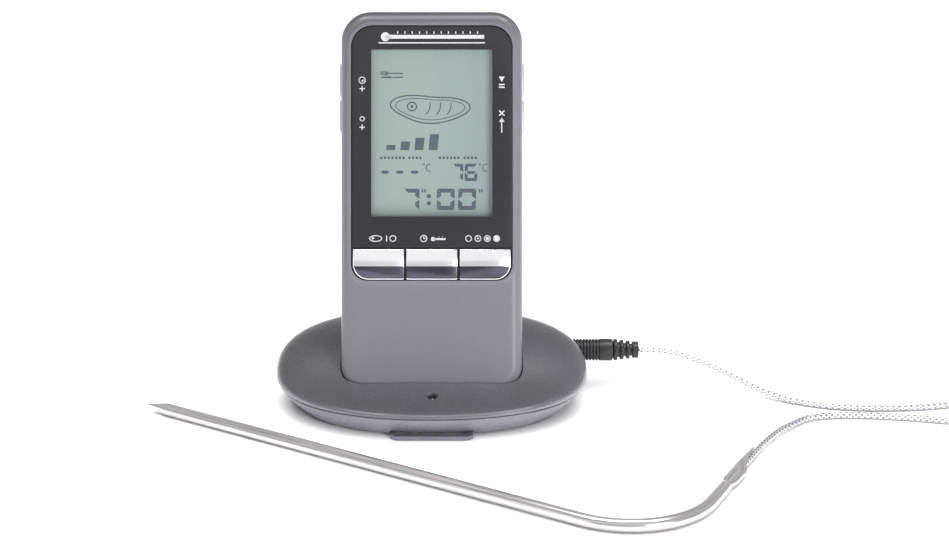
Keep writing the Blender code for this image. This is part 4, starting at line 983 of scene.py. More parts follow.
def make_display():
    """The black panel with its window, the lens in it and the crystal behind."""
    half = RECESS_HALF - GAP
    panel = soft_plate("display_bezel", (-half, half), (PANEL_BOTTOM, PANEL_TOP),
                       (PANEL_FRONT, PANEL_FRONT + PANEL_THICKNESS), RECESS_CORNER - GAP, 0.4,
                       0.22, 16)
    hole = soft_plate("window", (-WINDOW_HALF, WINDOW_HALF), (WINDOW_BOTTOM, WINDOW_TOP),
                      (-2, 3), 0.4, 0.4, 0.01)
    cut(panel, hole)
    reshade(panel, 30)
    dress(panel, FINISH["panel"], "handset", ["display_panel"])
    lens = soft_plate("display_lens", (-WINDOW_HALF + 0.1, WINDOW_HALF - 0.1),
                      (WINDOW_BOTTOM + 0.1, WINDOW_TOP - 0.1), (0.0, 0.6), 0.3, 0.3, 0.05)
    dress(lens, FINISH["lens"], "handset", ["display_window"])
    coat("lcd_glass", FINISH["crystal"])
    wide, low, high = WINDOW_HALF + 0.75, WINDOW_BOTTOM - 0.75, WINDOW_TOP + 0.75
    mask = [bar(x, z) for x, z in (((-wide, -wide + MASK_WIDTH), (low, high)),
                                   ((wide - MASK_WIDTH, wide), (low, high)),
                                   ((-wide, wide), (low, low + MASK_WIDTH)),
                                   ((-wide, wide), (high - MASK_WIDTH, high)))]
    flat_shapes("display_mask", mask, LCD_FRONT - 0.1, 0.06, FINISH["panel"])
    make_figures()
    make_panel_prints()


def make_figures():
    """What the crystal shows: a cut of meat, rising bars, two temperatures and a time."""
    marks = []
    for digit in DIGITS:
        marks += seven_segment(*digit)
    marks += [ring_points(-1.0, z, 0.75, 0.75, 14) for z in (62.4, 64.8)]
    marks += degree_mark(15.7, 75.7) + degree_mark(-3.1, 75.7)
    for x in (-17.0, -12.1, -7.2):
        marks.append([(x, 72.8), (x + 0.7, 73.35), (x + 2.2, 73.35), (x + 2.9, 72.8),
                      (x + 2.2, 72.25), (x + 0.7, 72.25)])
    for x, count in (((-17.2, -9.0), 7), ((-7.8, -3.4), 4), ((2.4, 9.2), 6), ((10.5, 15.0), 4)):
        marks += block_row(x, (77.1, 78.0), count, 0.8, 0.5)
    for x in ((-3.4, -2.0), (15.6, 16.9)):
        marks += block_row(x, (66.0, 67.2), 2, 0.5, 0.3)
    for i, height in enumerate((1.7, 2.9, 4.1, 5.3)):
        x, z = -15.2 + 4.7 * i, 80.1
        lean = 0.1 * height
        marks.append([(x, z), (x + 3.0, z), (x + 3.0 + lean, z + height), (x + lean, z + height)])
    marks += cutlery_icon(-17.0, 104.0) + steak_icon()
    flat_shapes("display_figures", marks, LCD_FRONT - 0.04, INK_THICKNESS, FINISH["ink"])


def clock_icon(x, z, radius, width):
    """A ring with two hands."""
    return (ribbon(ring_points(x, z, radius, radius, 24), width, True)
            + ribbon([(x, z + radius * 0.6), (x, z), (x + radius * 0.5, z)], width))


def thermometer_icon(x, z, length, width):
    """Lies on its side, with the bulb at x and its scale over the stem."""
    bulb = 1.2 * width
    marks = [ring_points(x, z, bulb, bulb, 20),
             bar((x, x + length), (z - width / 2, z + width / 2))]
    ticks = max(3, int(length / (1.9 * width)))
    for i in range(1, ticks):
        at = x + bulb + (length - bulb) * i / ticks
        marks.append(bar((at, at + 0.28 * width), (z + width * 0.85, z + width * 1.45)))
    return marks


def turn_marks(marks, x, z):
    """The same marks a quarter turn to the right, about a new middle."""
    return [[(x + b, z - a) for a, b in outline] for outline in marks]


def plus_icon(x):
    """A plus sign in a row of marks."""
    return ribbon([(x - 0.8, 0.0), (x + 0.8, 0.0)], 0.36) + ribbon([(x, -0.8), (x, 0.8)], 0.36)


def make_panel_prints():
    """White pictograms round the window, where each key has its meaning."""
    scale = ribbon([(-17.6, 115.6), (17.6, 115.6)], 0.42)
    scale += thermometer_icon(-15.4, 117.6, 32.8, 1.25)
    row = 50.7
    food = ribbon(ring_points(-18.6, row, 2.0, 0.95, 22), 0.34, True)
    food += [ring_points(-19.5, row + 0.1, 0.45, 0.4, 10)]
    food += ribbon([(-15.0, row + 0.9), (-15.0, row - 0.9)], 0.32)
    food += ribbon(ring_points(-12.9, row, 1.0, 0.95, 18), 0.34, True)
    mode = clock_icon(-2.7, row, 1.05, 0.34) + thermometer_icon(0.4, row - 0.2, 4.2, 0.6)
    doneness = []
    for i, x in enumerate((12.2, 15.3, 18.4, 21.5)):
        doneness += ribbon(ring_points(x, row, 0.95, 0.95, 20), 0.34, True)
        if i:
            doneness.append(ring_points(x, row, 0.28 * i, 0.28 * i, 14))
    minute = clock_icon(0.0, 0.0, 1.05, 0.34) + plus_icon(2.8)
    second = ribbon(ring_points(0.0, 0.0, 0.7, 0.7, 16), 0.34, True) + plus_icon(2.8)
    start = [[(-1.1, -0.95), (0.7, 0.0), (-1.1, 0.95)], bar((1.3, 1.75), (-0.95, 0.95)),
             bar((2.2, 2.65), (-0.95, 0.95))]
    clear = ribbon([(-0.8, -0.8), (0.8, 0.8)], 0.4) + ribbon([(-0.8, 0.8), (0.8, -0.8)], 0.4)
    clear += ribbon([(6.4, 0.0), (2.2, 0.0)], 0.38) + [[(1.5, 0.0), (2.9, 0.9), (2.9, -0.9)]]
    marks = scale + food + mode + doneness
    marks += turn_marks(minute, -23.1, 103.2) + turn_marks(second, -23.1, 90.4)
    marks += turn_marks(start, 23.2, 103.3) + turn_marks(clear, 23.2, 92.3)
    flat_shapes("panel_prints", marks, PANEL_FRONT - 0.02, INK_THICKNESS, FINISH["print"])


def make_front_keys(edges):
    """Three chromed keys with a ridge across; the outer two follow the recess's corners."""
    rim = edges.front_key / MM
    for key, index in (("left", -1), ("middle", 0), ("right", 1)):
        left = KEY_CORNER - GAP if key == "left" else 0.5
        right = KEY_CORNER - GAP if key == "right" else 0.5
        cap = key_cap(f"key_cap_{key}", index * KEY_PITCH, left, right, rim)
        cap.data.materials.clear()
        cap.data.materials.append(FINISH["chrome"])
        # the darker chrome is a painted dark reflection on each key's lower facet
        cap.data.materials.append(FINISH["painted_dark_reflection"])
        paint_dark_reflection_on_lower_facet(cap)
        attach(cap, f"{key}_key")
        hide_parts(f"key_{key}")


def key_front(z):
    """Depth of a key's face, which stands proudest at its ridge."""
    ridge = KEY_BOTTOM + RIDGE_HEIGHT
    if z >= ridge:
        share = (z - ridge) / (KEY_TOP - ridge)
    else:
        share = (ridge - z) / (ridge - KEY_BOTTOM)
    return -KEY_RIDGE + (KEY_RIDGE - KEY_EDGE) * share


def key_outline(x, left, right, inset):
    """A key's outline, set in, from one end of its ridge round the lower and upper sides."""
    ridge = KEY_BOTTOM + RIDGE_HEIGHT
    start, end = x - KEY_WIDTH / 2, x + KEY_WIDTH / 2
    low = arc((start + left, KEY_BOTTOM + left), max(left - inset, 0.1), 180, 270, 12)
    low += arc((end - right, KEY_BOTTOM + right), max(right - inset, 0.1), 270, 360, 12)
    low = [point for point in low if point[1] < ridge - 0.05]
    return [(start + inset, ridge), *low, (end - inset, ridge), (end - inset, KEY_TOP - inset),
            (start + inset, KEY_TOP - inset)]


def key_cap(name, x, left, right, rim):
    back = -0.1
    bm = bmesh.new()
    rings = []
    for inset, lift in ((0.0, None), (0.0, rim), (rim * 0.3, rim * 0.3), (rim, 0.0)):
        ring = []
        for a, b in key_outline(x, left, right, inset):
            face = key_front(min(max(b, KEY_BOTTOM), KEY_TOP))
            ring.append(bm.verts.new((a, back if lift is None else face + lift, b)))
        rings.append(ring)
    count = len(rings[0])
    for first, second in zip(rings, rings[1:]):
        for i in range(count):
            j = (i + 1) % count
            bm.faces.new((first[i], first[j], second[j], second[i]))
    bm.faces.new(list(reversed(rings[0])))
    face = rings[-1]
    bm.faces.new(face[:count - 2])
    bm.faces.new((face[count - 3], face[count - 2], face[count - 1], face[0]))
    cap = settle(name, bm, HANDSET_AXES, 25)
    stem = block("stem", (x - STEM_HALF, x + STEM_HALF), (back - 0.2, 4.2),
                 (KEY_MIDDLE - STEM_HALF_HEIGHT, KEY_MIDDLE + STEM_HALF_HEIGHT), HANDSET_AXES)
    weld(cap, stem)
    return reshade(cap, 25)


def paint_dark_reflection_on_lower_facet(cap):
    """The facet under the ridge faces the worktop and the dark room; it takes the darker chrome,
    a painted dark reflection.
    """
    back_to_handset = HANDSET_AXES.inverted()
    for polygon in cap.data.polygons:
        centre = (back_to_handset @ polygon.center) / MM
        normal = back_to_handset.to_3x3() @ polygon.normal
        below_ridge = centre.z < KEY_BOTTOM + RIDGE_HEIGHT - 0.4
        low_facet = below_ridge and centre.y < 0 and normal.y < -0.9
        polygon.material_index = 1 if low_facet else 0


def make_side_keys(edges):
    """Four silvered keys in the seam between the shells, each with a flange behind its slot."""
    inner = HALF - WALL - GAP
    proud = HALF + SIDE_KEY_PROUD
    reach, deep = SIDE_KEY_LENGTH / 2, SIDE_KEY_DEPTH / 2
    edge = edges.side_key / MM
    turns = [pi / 2 * i / 6 for i in range(1, 7)]
    profile = [(inner - 0.3, 0.0), (proud - edge, 0.0)]
    profile += [(proud - edge * (1 - sin(turn)), edge * (1 - cos(turn))) for turn in turns]
    for side, word in ((-1, "left"), (1, "right")):
        for middle, level in zip(SIDE_KEY_MIDDLES, ("upper", "lower")):
            rings = []
            for x, inset in profile:
                corner = 1.2 - inset * 0.5
                outline = round_rect((inset - reach, reach - inset), (inset - deep, deep - inset),
                                     corner, corner, 6)
                rings.append([(side * x, SEAM_DEPTH + b, middle + a) for a, b in outline])
            cap = loft(f"side_cap_{word}_{level}", rings, HANDSET_AXES)
            flange = block("flange", sorted((side * (inner - 1.2), side * inner)),
                           (SEAM_DEPTH - deep - 0.8, SEAM_DEPTH + deep + 0.8),
                           (middle - reach, middle + reach), HANDSET_AXES)
            weld(cap, flange)
            reshade(cap, 35)
            dress(cap, FINISH["satin"], f"{level}_{word}_side_key",
                  [f"side_key_{word}_{level}"])


def make_covers(edges):
    """The two battery doors and the hanging loop keep the frame's shape, with eased edges."""
    for name in ("handset_battery_door", "base_battery_door", "hanging_loop"):
        obj = coat(name, FINISH["case"] if name.startswith("handset") else FINISH["under"])
        soften(obj, edges.covers, 3, 35)


def make_inner_parts():
    """Parts that mostly stay hidden keep the frame's shape and get a finish."""
    plain = {
        "board": ("base_circuit_board", "handset_circuit_board"),
        "black": ("jack_socket", "buzzer", "temperature_sensor"),
        "lamp": ("status_led",),
        "nickel": ("base_contact_left", "base_contact_right", "handset_contact_top",
                   "handset_contact_bottom", "plug_pin"),
        "copper": ("transmitter_antenna", "receiver_antenna"),
        "wrap": ("base_battery_1", "base_battery_2", "handset_battery_1", "handset_battery_2"),
        "rubber": ("lcd_connector", "key_mat"),
        "frame": ("lcd_holder", "side_switch_left_upper", "side_switch_left_lower",
                  "side_switch_right_upper", "side_switch_right_lower"),
    }
    for finish, names in plain.items():
        for name in names:
            coat(name, FINISH[finish])


def cross_cutters(x, place, deep, axes=None):
    """The two bars of a screw's cross recess, between two depths."""
    bars = []
    for a, b in ((CROSS_HALF, CROSS_REACH), (CROSS_REACH, CROSS_HALF)):
        across, along = (x - a, x + a), (place - b, place + b)
        if axes is None:
            bars.append(block("cross", across, along, deep))
        else:
            bars.append(block("cross", across, deep, along, axes))
    return bars


def make_screws():
    """Pan-head screws with a cross recess, one for each of the frame's."""
    head = THICKNESS - SCREW_SINK
    profile = [(4.0, 0.4), (5.0, 1.0), (head - 1.6, 1.0), (head - 1.6, SCREW_HEAD),
               (head - 0.35, SCREW_HEAD), (head - 0.1, SCREW_HEAD - 0.15),
               (head, SCREW_HEAD - 0.5)]
    for i, (x, z) in enumerate(SCREW_PLACES, start=1):
        body = turned(f"handset_screw_head_{i}", profile, "Y", (x, 0, z), 40, HANDSET_AXES)
        cut(body, *cross_cutters(x, z, (head - 0.8, head + 1), HANDSET_AXES))
        dress(reshade(body), FINISH["zinc"], "handset", [f"handset_screw_{i}"])
    for i, (x, y) in enumerate(BASE_SCREWS, start=1):
        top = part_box(f"base_screw_{i}")[1].z / MM
        profile = [(SCREW_SINK, SCREW_HEAD - 0.5), (SCREW_SINK + 0.1, SCREW_HEAD - 0.15),
                   (SCREW_SINK + 0.35, SCREW_HEAD), (SCREW_SINK + 1.6, SCREW_HEAD),
                   (SCREW_SINK + 1.6, 1.0), (top - 1, 1.0), (top, 0.4)]
        body = turned(f"base_screw_head_{i}", profile, "Z", (x, y, 0), 40)
        cut(body, *cross_cutters(x, y, (-1, SCREW_SINK + 0.8)))
        dress(reshade(body), FINISH["zinc"], "base", [f"base_screw_{i}"])


def make_plug(detail):
    """The grip with fine ribs and a plain collar, then a relief of shrinking collars."""
    start, end = (corner.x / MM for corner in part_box("plug_grip"))
    radius = PLUG_RADIUS
    pitch = 1.1
    profile = [(start, radius - 0.3)]
    for i in range(detail.plug_ribs):
        x = start + i * pitch
        profile += [(x + 0.08, radius - 0.06), (x + 0.18, radius), (x + 0.52, radius),
                    (x + 0.62, radius - 0.06), (x + 0.7, radius - 0.42),
                    (x + 1.0, radius - 0.42)]
    x = start + detail.plug_ribs * pitch
    profile += [(x + 0.08, radius - 0.05), (x + 0.2, radius), (end - 0.6, radius),
                (end - 0.2, radius - 0.12), (end, radius - 0.45)]
    grip = turned("plug_body", profile, "X", (0, PLUG_Y, PLUG_Z), 64)
    dress(grip, FINISH["pvc"], "base", ["plug_grip"])
    low, high = (corner.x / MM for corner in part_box("plug_strain_relief"))
    profile = [(low, 2.6)]
    pitch = (high - low) / RELIEF_COLLARS
    last = RELIEF_COLLARS - 1
    for i in range(last):
        x = low + i * pitch
        radius = RELIEF_START - (RELIEF_START - RELIEF_END) * i / last
        profile += [(x + 0.1, radius - 0.15), (x + 0.35, radius), (x + pitch - 1.1, radius),
                    (x + pitch - 0.85, radius - 0.15), (x + pitch - 0.78, radius - 1.1),
                    (x + pitch - 0.05, radius - 1.1)]
    x = low + last * pitch
    profile += [(x + 0.05, RELIEF_END - 0.12), (x + 0.2, RELIEF_END), (high - 0.15, RELIEF_END),
                (high - 0.02, RELIEF_END - 0.12), (high, RELIEF_END - 0.3), (high, 1.25)]
    relief = turned("plug_relief", profile, "X", (0, PLUG_Y, PLUG_Z), 64)
    dress(relief, FINISH["pvc"], "base", ["plug_strain_relief"])


def smooth_route(route, spacing):
    """Points along a smooth curve through the route's own points."""
    padded = [2 * Vector(route[0]) - Vector(route[1])] + [Vector(p) for p in route]
    padded.append(2 * Vector(route[-1]) - Vector(route[-2]))
    points = [padded[1]]
    for a, b, c, d in zip(padded, padded[1:], padded[2:], padded[3:]):
        steps = max(1, ceil((c - b).length / spacing))
        for i in range(1, steps + 1):
            t = i / steps
            points.append(0.5 * (2 * b + (c - a) * t + (2 * a - 5 * b + 4 * c - d) * t * t
                                 + (3 * b - a - 3 * c + d) * t * t * t))
    return points


def coil_points(turns, per_turn=40):
    """The wound length: it enters over the top of the ring and leaves under its lower side."""
    points = []
    last = len(COIL_LANES) - 1
    for i in range(int(turns * per_turn) + 1):
        share = i / per_turn
        lane = min(int(share), last)
        blend = min(max((share - lane - 0.6) / 0.4, 0.0), 1.0)
        blend = blend * blend * (3 - 2 * blend)
        here, ahead = COIL_LANES[lane], COIL_LANES[min(lane + 1, last)]
        radius, height = (a * (1 - blend) + b * blend for a, b in zip(here, ahead))
        angle = pi / 2 - 2 * pi * share
        points.append(Vector((COIL_CENTRE[0] + radius * cos(angle),
                              COIL_CENTRE[1] + radius * sin(angle), height)))
    return points


def tube_along(name, points, radius, sides):
    """A mesh tube whose UVs are in millimetres: U along it, V round it."""
    bm = bmesh.new()
    uv = bm.loops.layers.uv.new("UVMap")
    up = Vector((0, 0, 1))
    loops = []
    lengths = []
    run = 0.0
    count = len(points)
    for i, point in enumerate(points):
        ahead = (points[min(i + 1, count - 1)] - points[max(i - 1, 0)]).normalized()
        side = ahead.cross(up).normalized()
        lift = side.cross(ahead)
        if i:
            run += (point - points[i - 1]).length
        lengths.append(run)
        loops.append([bm.verts.new(point + radius * (side * cos(2 * pi * k / sides)
                                                     + lift * sin(2 * pi * k / sides)))
                      for k in range(sides)])
    round_it = 2 * pi * radius
    for i in range(count - 1):
        for k in range(sides):
            m = (k + 1) % sides
            face = bm.faces.new((loops[i][k], loops[i][m], loops[i + 1][m], loops[i + 1][k]))
            corners = ((lengths[i], k), (lengths[i], k + 1), (lengths[i + 1], k + 1),
                       (lengths[i + 1], k))
            for loop, (u, step) in zip(face.loops, corners):
                loop[uv].uv = (u, step / sides * round_it)
    bm.faces.new(list(reversed(loops[0])))
    bm.faces.new(loops[-1])
    return settle(name, bm, None, 60)


def make_lead(detail):
    """The braided lead: out of the plug, round its coil and back into the probe's crimp."""
    relief_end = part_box("plug_strain_relief")[1].x / MM
    start = (relief_end + GAP, PLUG_Y, PLUG_Z)
    out = smooth_route((start,) + OUT_ROUTE, LEAD_SPACING)
    coil = coil_points(detail.coil_turns)
    tail = []
    for distance in (PROBE_LEG + 4, PROBE_LEG, PROBE_LEG - 5, PROBE_LEG - 10,
                     PROBE_LEG - LEAD_IN_CRIMP):
        place = probe_leg_point(distance)
        tail.append((place.x, place.y, PROBE_RADIUS))
    back = smooth_route(BACK_ROUTE + tuple(tail), LEAD_SPACING)
    joined = 12  # points of the way back that the coil's own exit takes over
    into = smooth_route((tuple(out[-2]), tuple(out[-1]), (194.0, -2.6, 1.05), tuple(coil[0]),
                         tuple(coil[2])), LEAD_SPACING)
    away = smooth_route((tuple(coil[-3]), tuple(coil[-1]), (192.0, -26.1, 6.6),
                         (184.0, -24.8, 3.2), (178.0, -23.0, 1.2), tuple(back[joined])),
                        LEAD_SPACING)
    into = [p for p in into if out[-1].x + 0.8 < p.x < coil[0].x - 0.8]
    away = [p for p in away if back[joined].x + 0.8 < p.x < coil[-1].x - 0.8]
    points = out + into + coil + away + back[joined:]
    lead = tube_along("braided_lead", points, LEAD_RADIUS, detail.lead_sides)
    dress(lead, FINISH["braid"], "base", ["cable_out", "cable_coil", "cable_back"])
    tie = make_tie()


def make_tie():
    """A flat tie wound once round the side of the coil."""
    x, y, z = COIL_CENTRE[0] + 10.95, COIL_CENTRE[1], 4.1
    half_width, thickness = 1.1, 0.35
    bm = bmesh.new()
    inner = []
    outer = []
    for a, b in round_rect((-3.45, 3.45), (-3.95, 4.5), 1.4, 1.4, 6):
        away = Vector((a, b)).normalized() * thickness
        inner.append([bm.verts.new((x + a, y + w, z + b)) for w in (-half_width, half_width)])
        outer.append([bm.verts.new((x + a + away.x, y + w, z + b + away.y))
                      for w in (-half_width, half_width)])
    count = len(inner)
    for i in range(count):
        j = (i + 1) % count
        bm.faces.new((inner[i][0], inner[j][0], inner[j][1], inner[i][1]))
        bm.faces.new((outer[i][1], outer[j][1], outer[j][0], outer[i][0]))
        bm.faces.new((outer[i][0], outer[j][0], inner[j][0], inner[i][0]))
        bm.faces.new((inner[i][1], inner[j][1], outer[j][1], outer[i][1]))
    tie = settle("lead_tie", bm, None, 40)
    return dress(tie, FINISH["black"], "base", ())


def probe_point(distance):
    """Place and heading on the probe's axis, at a distance from its tip."""
    ahead = Vector((cos(PROBE_HEADING), sin(PROBE_HEADING)))
    left = Vector((-ahead.y, ahead.x))
    if distance <= PROBE_STRAIGHT:
        return Vector(PROBE_TIP) + ahead * distance, PROBE_HEADING
    centre = Vector(PROBE_TIP) + ahead * PROBE_STRAIGHT + left * BEND_RADIUS
    turn = min((distance - PROBE_STRAIGHT) / BEND_RADIUS, BEND_ANGLE)
    heading = PROBE_HEADING + turn
    place = centre + Vector((sin(heading), -cos(heading))) * BEND_RADIUS
    rest = distance - PROBE_STRAIGHT - BEND_RADIUS * turn
    return place + Vector((cos(heading), sin(heading))) * rest, heading


def probe_leg_point(distance):
    """Place on the short leg past the bend, at a distance from where it starts."""
    return probe_point(PROBE_STRAIGHT + BEND_RADIUS * BEND_ANGLE + distance)[0]


def probe_ring(distance, half_width, half_height):
    """A section of the probe, square to its axis."""
    place, heading = probe_point(distance)
    side = Vector((-sin(heading), cos(heading)))
    ring = []
    for i in range(PROBE_SIDES):
        angle = 2 * pi * i / PROBE_SIDES
        across = side * half_width * cos(angle)
        ring.append((place.x + across.x, place.y + across.y,
                     PROBE_RADIUS + half_height * sin(angle)))
    return ring


def wrap_uv(obj, distances, sides):
    """UVs in millimetres on a lofted tube: U along its length, V round it."""
    layer = obj.data.uv_layers.new(name="UVMap")
    round_it = 2 * pi * PROBE_RADIUS
    for polygon in obj.data.polygons:
        steps = [divmod(index, sides) for index in polygon.vertices]
        seam = {0, sides - 1} <= {k for _, k in steps} and len(steps) == 4
        for corner, (ring, k) in zip(polygon.loop_indices, steps):
            turn = sides if seam and k == 0 else k
            layer.data[corner].uv = (distances[ring], turn / sides * round_it)


def make_crimp_leaf(start, end):
    """The crimp's far half: its wall is cut away on one side, and the lead lies in the trough."""
    # share of the leaf's length, half of its wall's sweep in degrees, and half its width
    rows = ((0.0, 178, 2.6), (0.08, 172, 2.6), (0.16, 150, 2.65), (0.26, 122, 2.7),
            (0.4, 108, 2.6), (0.6, 96, 2.4), (0.8, 84, 2.15), (0.94, 70, 1.95), (1.0, 52, 1.85))
    count = 22
    there, back = range(count + 1), range(count, -1, -1)
    rings = []
    for share, span, wide in rows:
        place, heading = probe_point(start + (end - start) * share)
        side = Vector((-sin(heading), cos(heading)))
        ring = []
        for thin, order in ((0.0, there), (CRIMP_WALL, back)):
            for i in order:
                angle = radians(-span + 2 * span * i / count)
                across = side * (wide - thin) * cos(angle)
                ring.append((place.x + across.x, place.y + across.y,
                             PROBE_RADIUS + (CRIMP_HALF_HEIGHT - thin) * sin(angle)))
        rings.append(ring)
    leaf = loft("crimp_leaf", rings, sharp=40)
    wrap_uv(leaf, [start + (end - start) * share for share, _, _ in rows], 2 * count + 2)
    return leaf


def make_probe():
    """A pointed steel tube, bent, then pinched and flattened where it grips the lead."""
    leg = PROBE_STRAIGHT + BEND_RADIUS * BEND_ANGLE
    r = PROBE_RADIUS
    # distance from the tip, half width and half height
    outer = [(0, 0.12, 0.12), (0.15, 0.22, 0.22), (1.5, 0.55, 0.55), (4.5, 1.25, 1.25),
             (7.0, 1.85, 1.85), (7.8, 2.03, 2.03), (8.6, r, r), (14, r, r)]
    outer += [(30 + 15 * i, r, r) for i in range(9)]
    bends = 40
    bend = [PROBE_STRAIGHT + BEND_RADIUS * BEND_ANGLE * i / bends for i in range(bends + 1)]
    outer += [(distance, r, r) for distance in bend]
    crimp = leg + CRIMP_START
    wide, high = CRIMP_HALF_WIDTH, CRIMP_HALF_HEIGHT
    outer += [(crimp - 2.2, r, r), (crimp - 1.0, 2.0, 1.9), (crimp - 0.2, 1.8, 1.5),
              (crimp + 0.4, 1.75, 1.35), (crimp + 1.1, 1.95, 1.5), (crimp + 2.2, 2.4, 1.72),
              (crimp + 4.0, wide, high), (crimp + CRIMP_CLOSED, wide, high)]
    inner = [(crimp + CRIMP_CLOSED, 2.2, 1.35), (crimp + 4.0, 2.1, 1.35),
             (crimp + 1.0, 1.3, 1.0), (crimp - 1.0, 1.3, 1.2)]
    inner += [(distance, PROBE_BORE, PROBE_BORE) for distance in reversed(bend)]
    inner += [(PROBE_POINT + 1.0, PROBE_BORE, PROBE_BORE)]
    steps = outer + inner
    tube = loft("probe_steel", [probe_ring(*step) for step in steps], sharp=40)
    wrap_uv(tube, [distance for distance, _, _ in steps], PROBE_SIDES)
    leaf = make_crimp_leaf(crimp + CRIMP_CLOSED, leg + PROBE_LEG)
    bm = bmesh.new()
    bm.from_mesh(tube.data)
    bm.from_mesh(leaf.data)
    bm.to_mesh(tube.data)
    bm.free()
    bpy.data.objects.remove(leaf, do_unlink=True)
    reshade(tube, 40)
    dress(tube, FINISH["steel"], "base", ["probe_tube"])


# ---- stage ------------------------------------------------------------------------------------
def soft_box(name, place, aim, size, power):
    """A rectangular soft light in metres and watts, turned to a point."""
    light = bpy.data.lights.new(name, "AREA")
    light.shape = "RECTANGLE"
    light.size, light.size_y = size
    light.energy = power
    obj = bpy.data.objects.new(name, light)
    bpy.context.scene.collection.objects.link(obj)
    obj.location = place
    obj.rotation_euler = (Vector(aim) - Vector(place)).to_track_quat("-Z", "Y").to_euler()
    return obj


def make_camera(focal_length):
    """A product camera, looking down a little from the front."""
    data = bpy.data.cameras.new("camera")
    data.sensor_width = 36.0
    data.lens = focal_length
    data.shift_x = 0.0450
    data.shift_y = -0.0449
    data.dof.use_dof = False
    data.clip_start, data.clip_end = 0.01, 50
    camera = bpy.data.objects.new("camera", data)
    bpy.context.scene.collection.objects.link(camera)
    camera.location = (0, -CAMERA_DISTANCE * cos(CAMERA_PITCH),
                       CAMERA_AIM + CAMERA_DISTANCE * sin(CAMERA_PITCH))
    camera.rotation_euler = (pi / 2 - CAMERA_PITCH, 0, 0)
    bpy.context.scene.camera = camera


def light_world(tree, ambient):
    """White behind everything, a clear sheen in what mirrors it, and a dim, even glow."""
    tree.nodes.clear()
    white = linear("#ffffff")
    out = node(tree, "ShaderNodeOutputWorld")
    path = node(tree, "ShaderNodeLightPath").outputs
    seen, glow, sheen = (node(tree, "ShaderNodeBackground", values=[
        ("Color", white), ("Strength", strength)]).outputs["Background"]
        for strength in (1.0, ambient, SHEEN))
    unseen = node(tree, "ShaderNodeMixShader",
                  [(path["Is Glossy Ray"], "Fac"), (glow, 1), (sheen, 2)])
    mix = node(tree, "ShaderNodeMixShader",
               [(path["Is Camera Ray"], "Fac"), (unseen.outputs["Shader"], 1), (seen, 2)])
    tree.links.new(mix.outputs["Shader"], out.inputs["Surface"])


def white_paper_sweep(name):
    """Seamless paper roll: white and quite matt, with a broad, faint cloud."""
    material, tree, shader = finish_base(name, "#fcfcfd", 0.9)
    tint(tree, grain(tree, shader, 60.0, 0.0, detail=0.0), shader, "#fbfbfc", "#ffffff")
    return material


def make_floor():
    bm = bmesh.new()
    size = FLOOR_HALF
    bm.faces.new([bm.verts.new((x, y, -FLOOR_DROP)) for x, y in
                  ((-size, -size), (size, -size), (size, size), (-size, size))])
    mesh = bpy.data.meshes.new("floor")
    bm.to_mesh(mesh)
    bm.free()
    floor = bpy.data.objects.new("floor", mesh)
    bpy.context.scene.collection.objects.link(floor)
    mesh.materials.append(white_paper_sweep("white_paper_sweep"))
    return floor


def make_stage(studio):
    """Camera, paper floor, soft boxes, and a wash that lights only the floor."""
    make_camera(studio.focal_length)
    scene = bpy.context.scene
    scene.view_settings.view_transform = "Standard"
    scene.world = bpy.data.worlds.new("studio")
    scene.world.use_nodes = True
    light_world(scene.world.node_tree, studio.ambient)
    floor = make_floor()
    for name, place, size, share in SOFT_BOXES:
        soft_box(name, place, (0, 0, 0.05), size, studio.key_power * share)
    for name, place, size, share in SPARKS:
        spark = soft_box(name, place, (0, -0.03, 0.01), size, studio.spark_power * share)
        spark.visible_diffuse = False
    wash = soft_box("floor_wash", (0.0, 0.0, 1.8), (0, 0, 0), (2.4, 2.4), studio.wash_power)
    lit = bpy.data.collections.new("wash_receivers")
    lit.objects.link(floor)
    wash.light_linking.receiver_collection = lit


# ---- add-on: settings -------------------------------------------------------------------------
def colour_setting(name, description, hex_colour):
    return FloatVectorProperty(name=name, description=description, default=linear(hex_colour),
                               size=4, min=0.0, max=1.0, subtype="COLOR")


def length_setting(name, description, millimetres):
    return FloatProperty(name=name, description=description, default=millimetres * MM, min=0.0,
                         precision=5, unit="LENGTH")


class ThermoFinishes(bpy.types.PropertyGroup):
    """Colours of the finishes, and the real size of their patterns"""
    case_dark: colour_setting("Case, dark", "Darker shade of the handset's shells", "#87868e")
    case_light: colour_setting("Case, light", "Lighter shade of the handset's shells", "#908f97")
    base_dark: colour_setting("Base, dark", "Darker shade of the base's shells", "#83828a")
    base_light: colour_setting("Base, light", "Lighter shade of the base's shells", "#898890")
    panel: colour_setting("Panel", "Ink behind the display panel", "#2c2b30")
    crystal: colour_setting("Crystal", "The display while it is off", "#a4b6b0")
    segments: colour_setting("Segments", "The display's figures", "#5a6a6f")
    print_ink: colour_setting("Print", "Pictograms round the display", "#ffffff")
    chrome: colour_setting("Front keys", "Plating of the front keys", "#f4f4f8")
    satin: colour_setting("Side keys", "Plating of the side keys", "#bababb")
    steel: colour_setting("Probe", "Steel of the probe", "#d6d3d5")
    braid: colour_setting("Lead", "Wires of the lead's braid", "#e6e6ea")
    plug: colour_setting("Plug", "Moulding of the plug", "#252428")
    case_grain: length_setting("Case grain", "Size of the grain on the handset", 0.28)
    base_grain: length_setting("Base grain", "Size of the grain on the base", 0.35)
    draw_spacing: length_setting("Draw lines", "Spacing of the probe's draw lines", 0.625)
    braid_pitch: length_setting("Braid pitch", "Length of one lozenge of the braid", 1.309)


class ThermoEdges(bpy.types.PropertyGroup):
    """How far each moulding's edges are rounded"""
    case: length_setting("Case", "Rounding of the handset's shells", 0.12)
    base_upper: length_setting("Base, upper", "Rounding of the base's dome", 0.22)
    base_lower: length_setting("Base, lower", "Rounding of the base's tray", 0.15)
    covers: length_setting("Covers", "Rounding of the battery doors and the loop", 0.2)
    front_key: length_setting("Front keys", "Rim round the front keys", 0.34)
    side_key: length_setting("Side keys", "Rounding of the side keys' faces", 0.6)


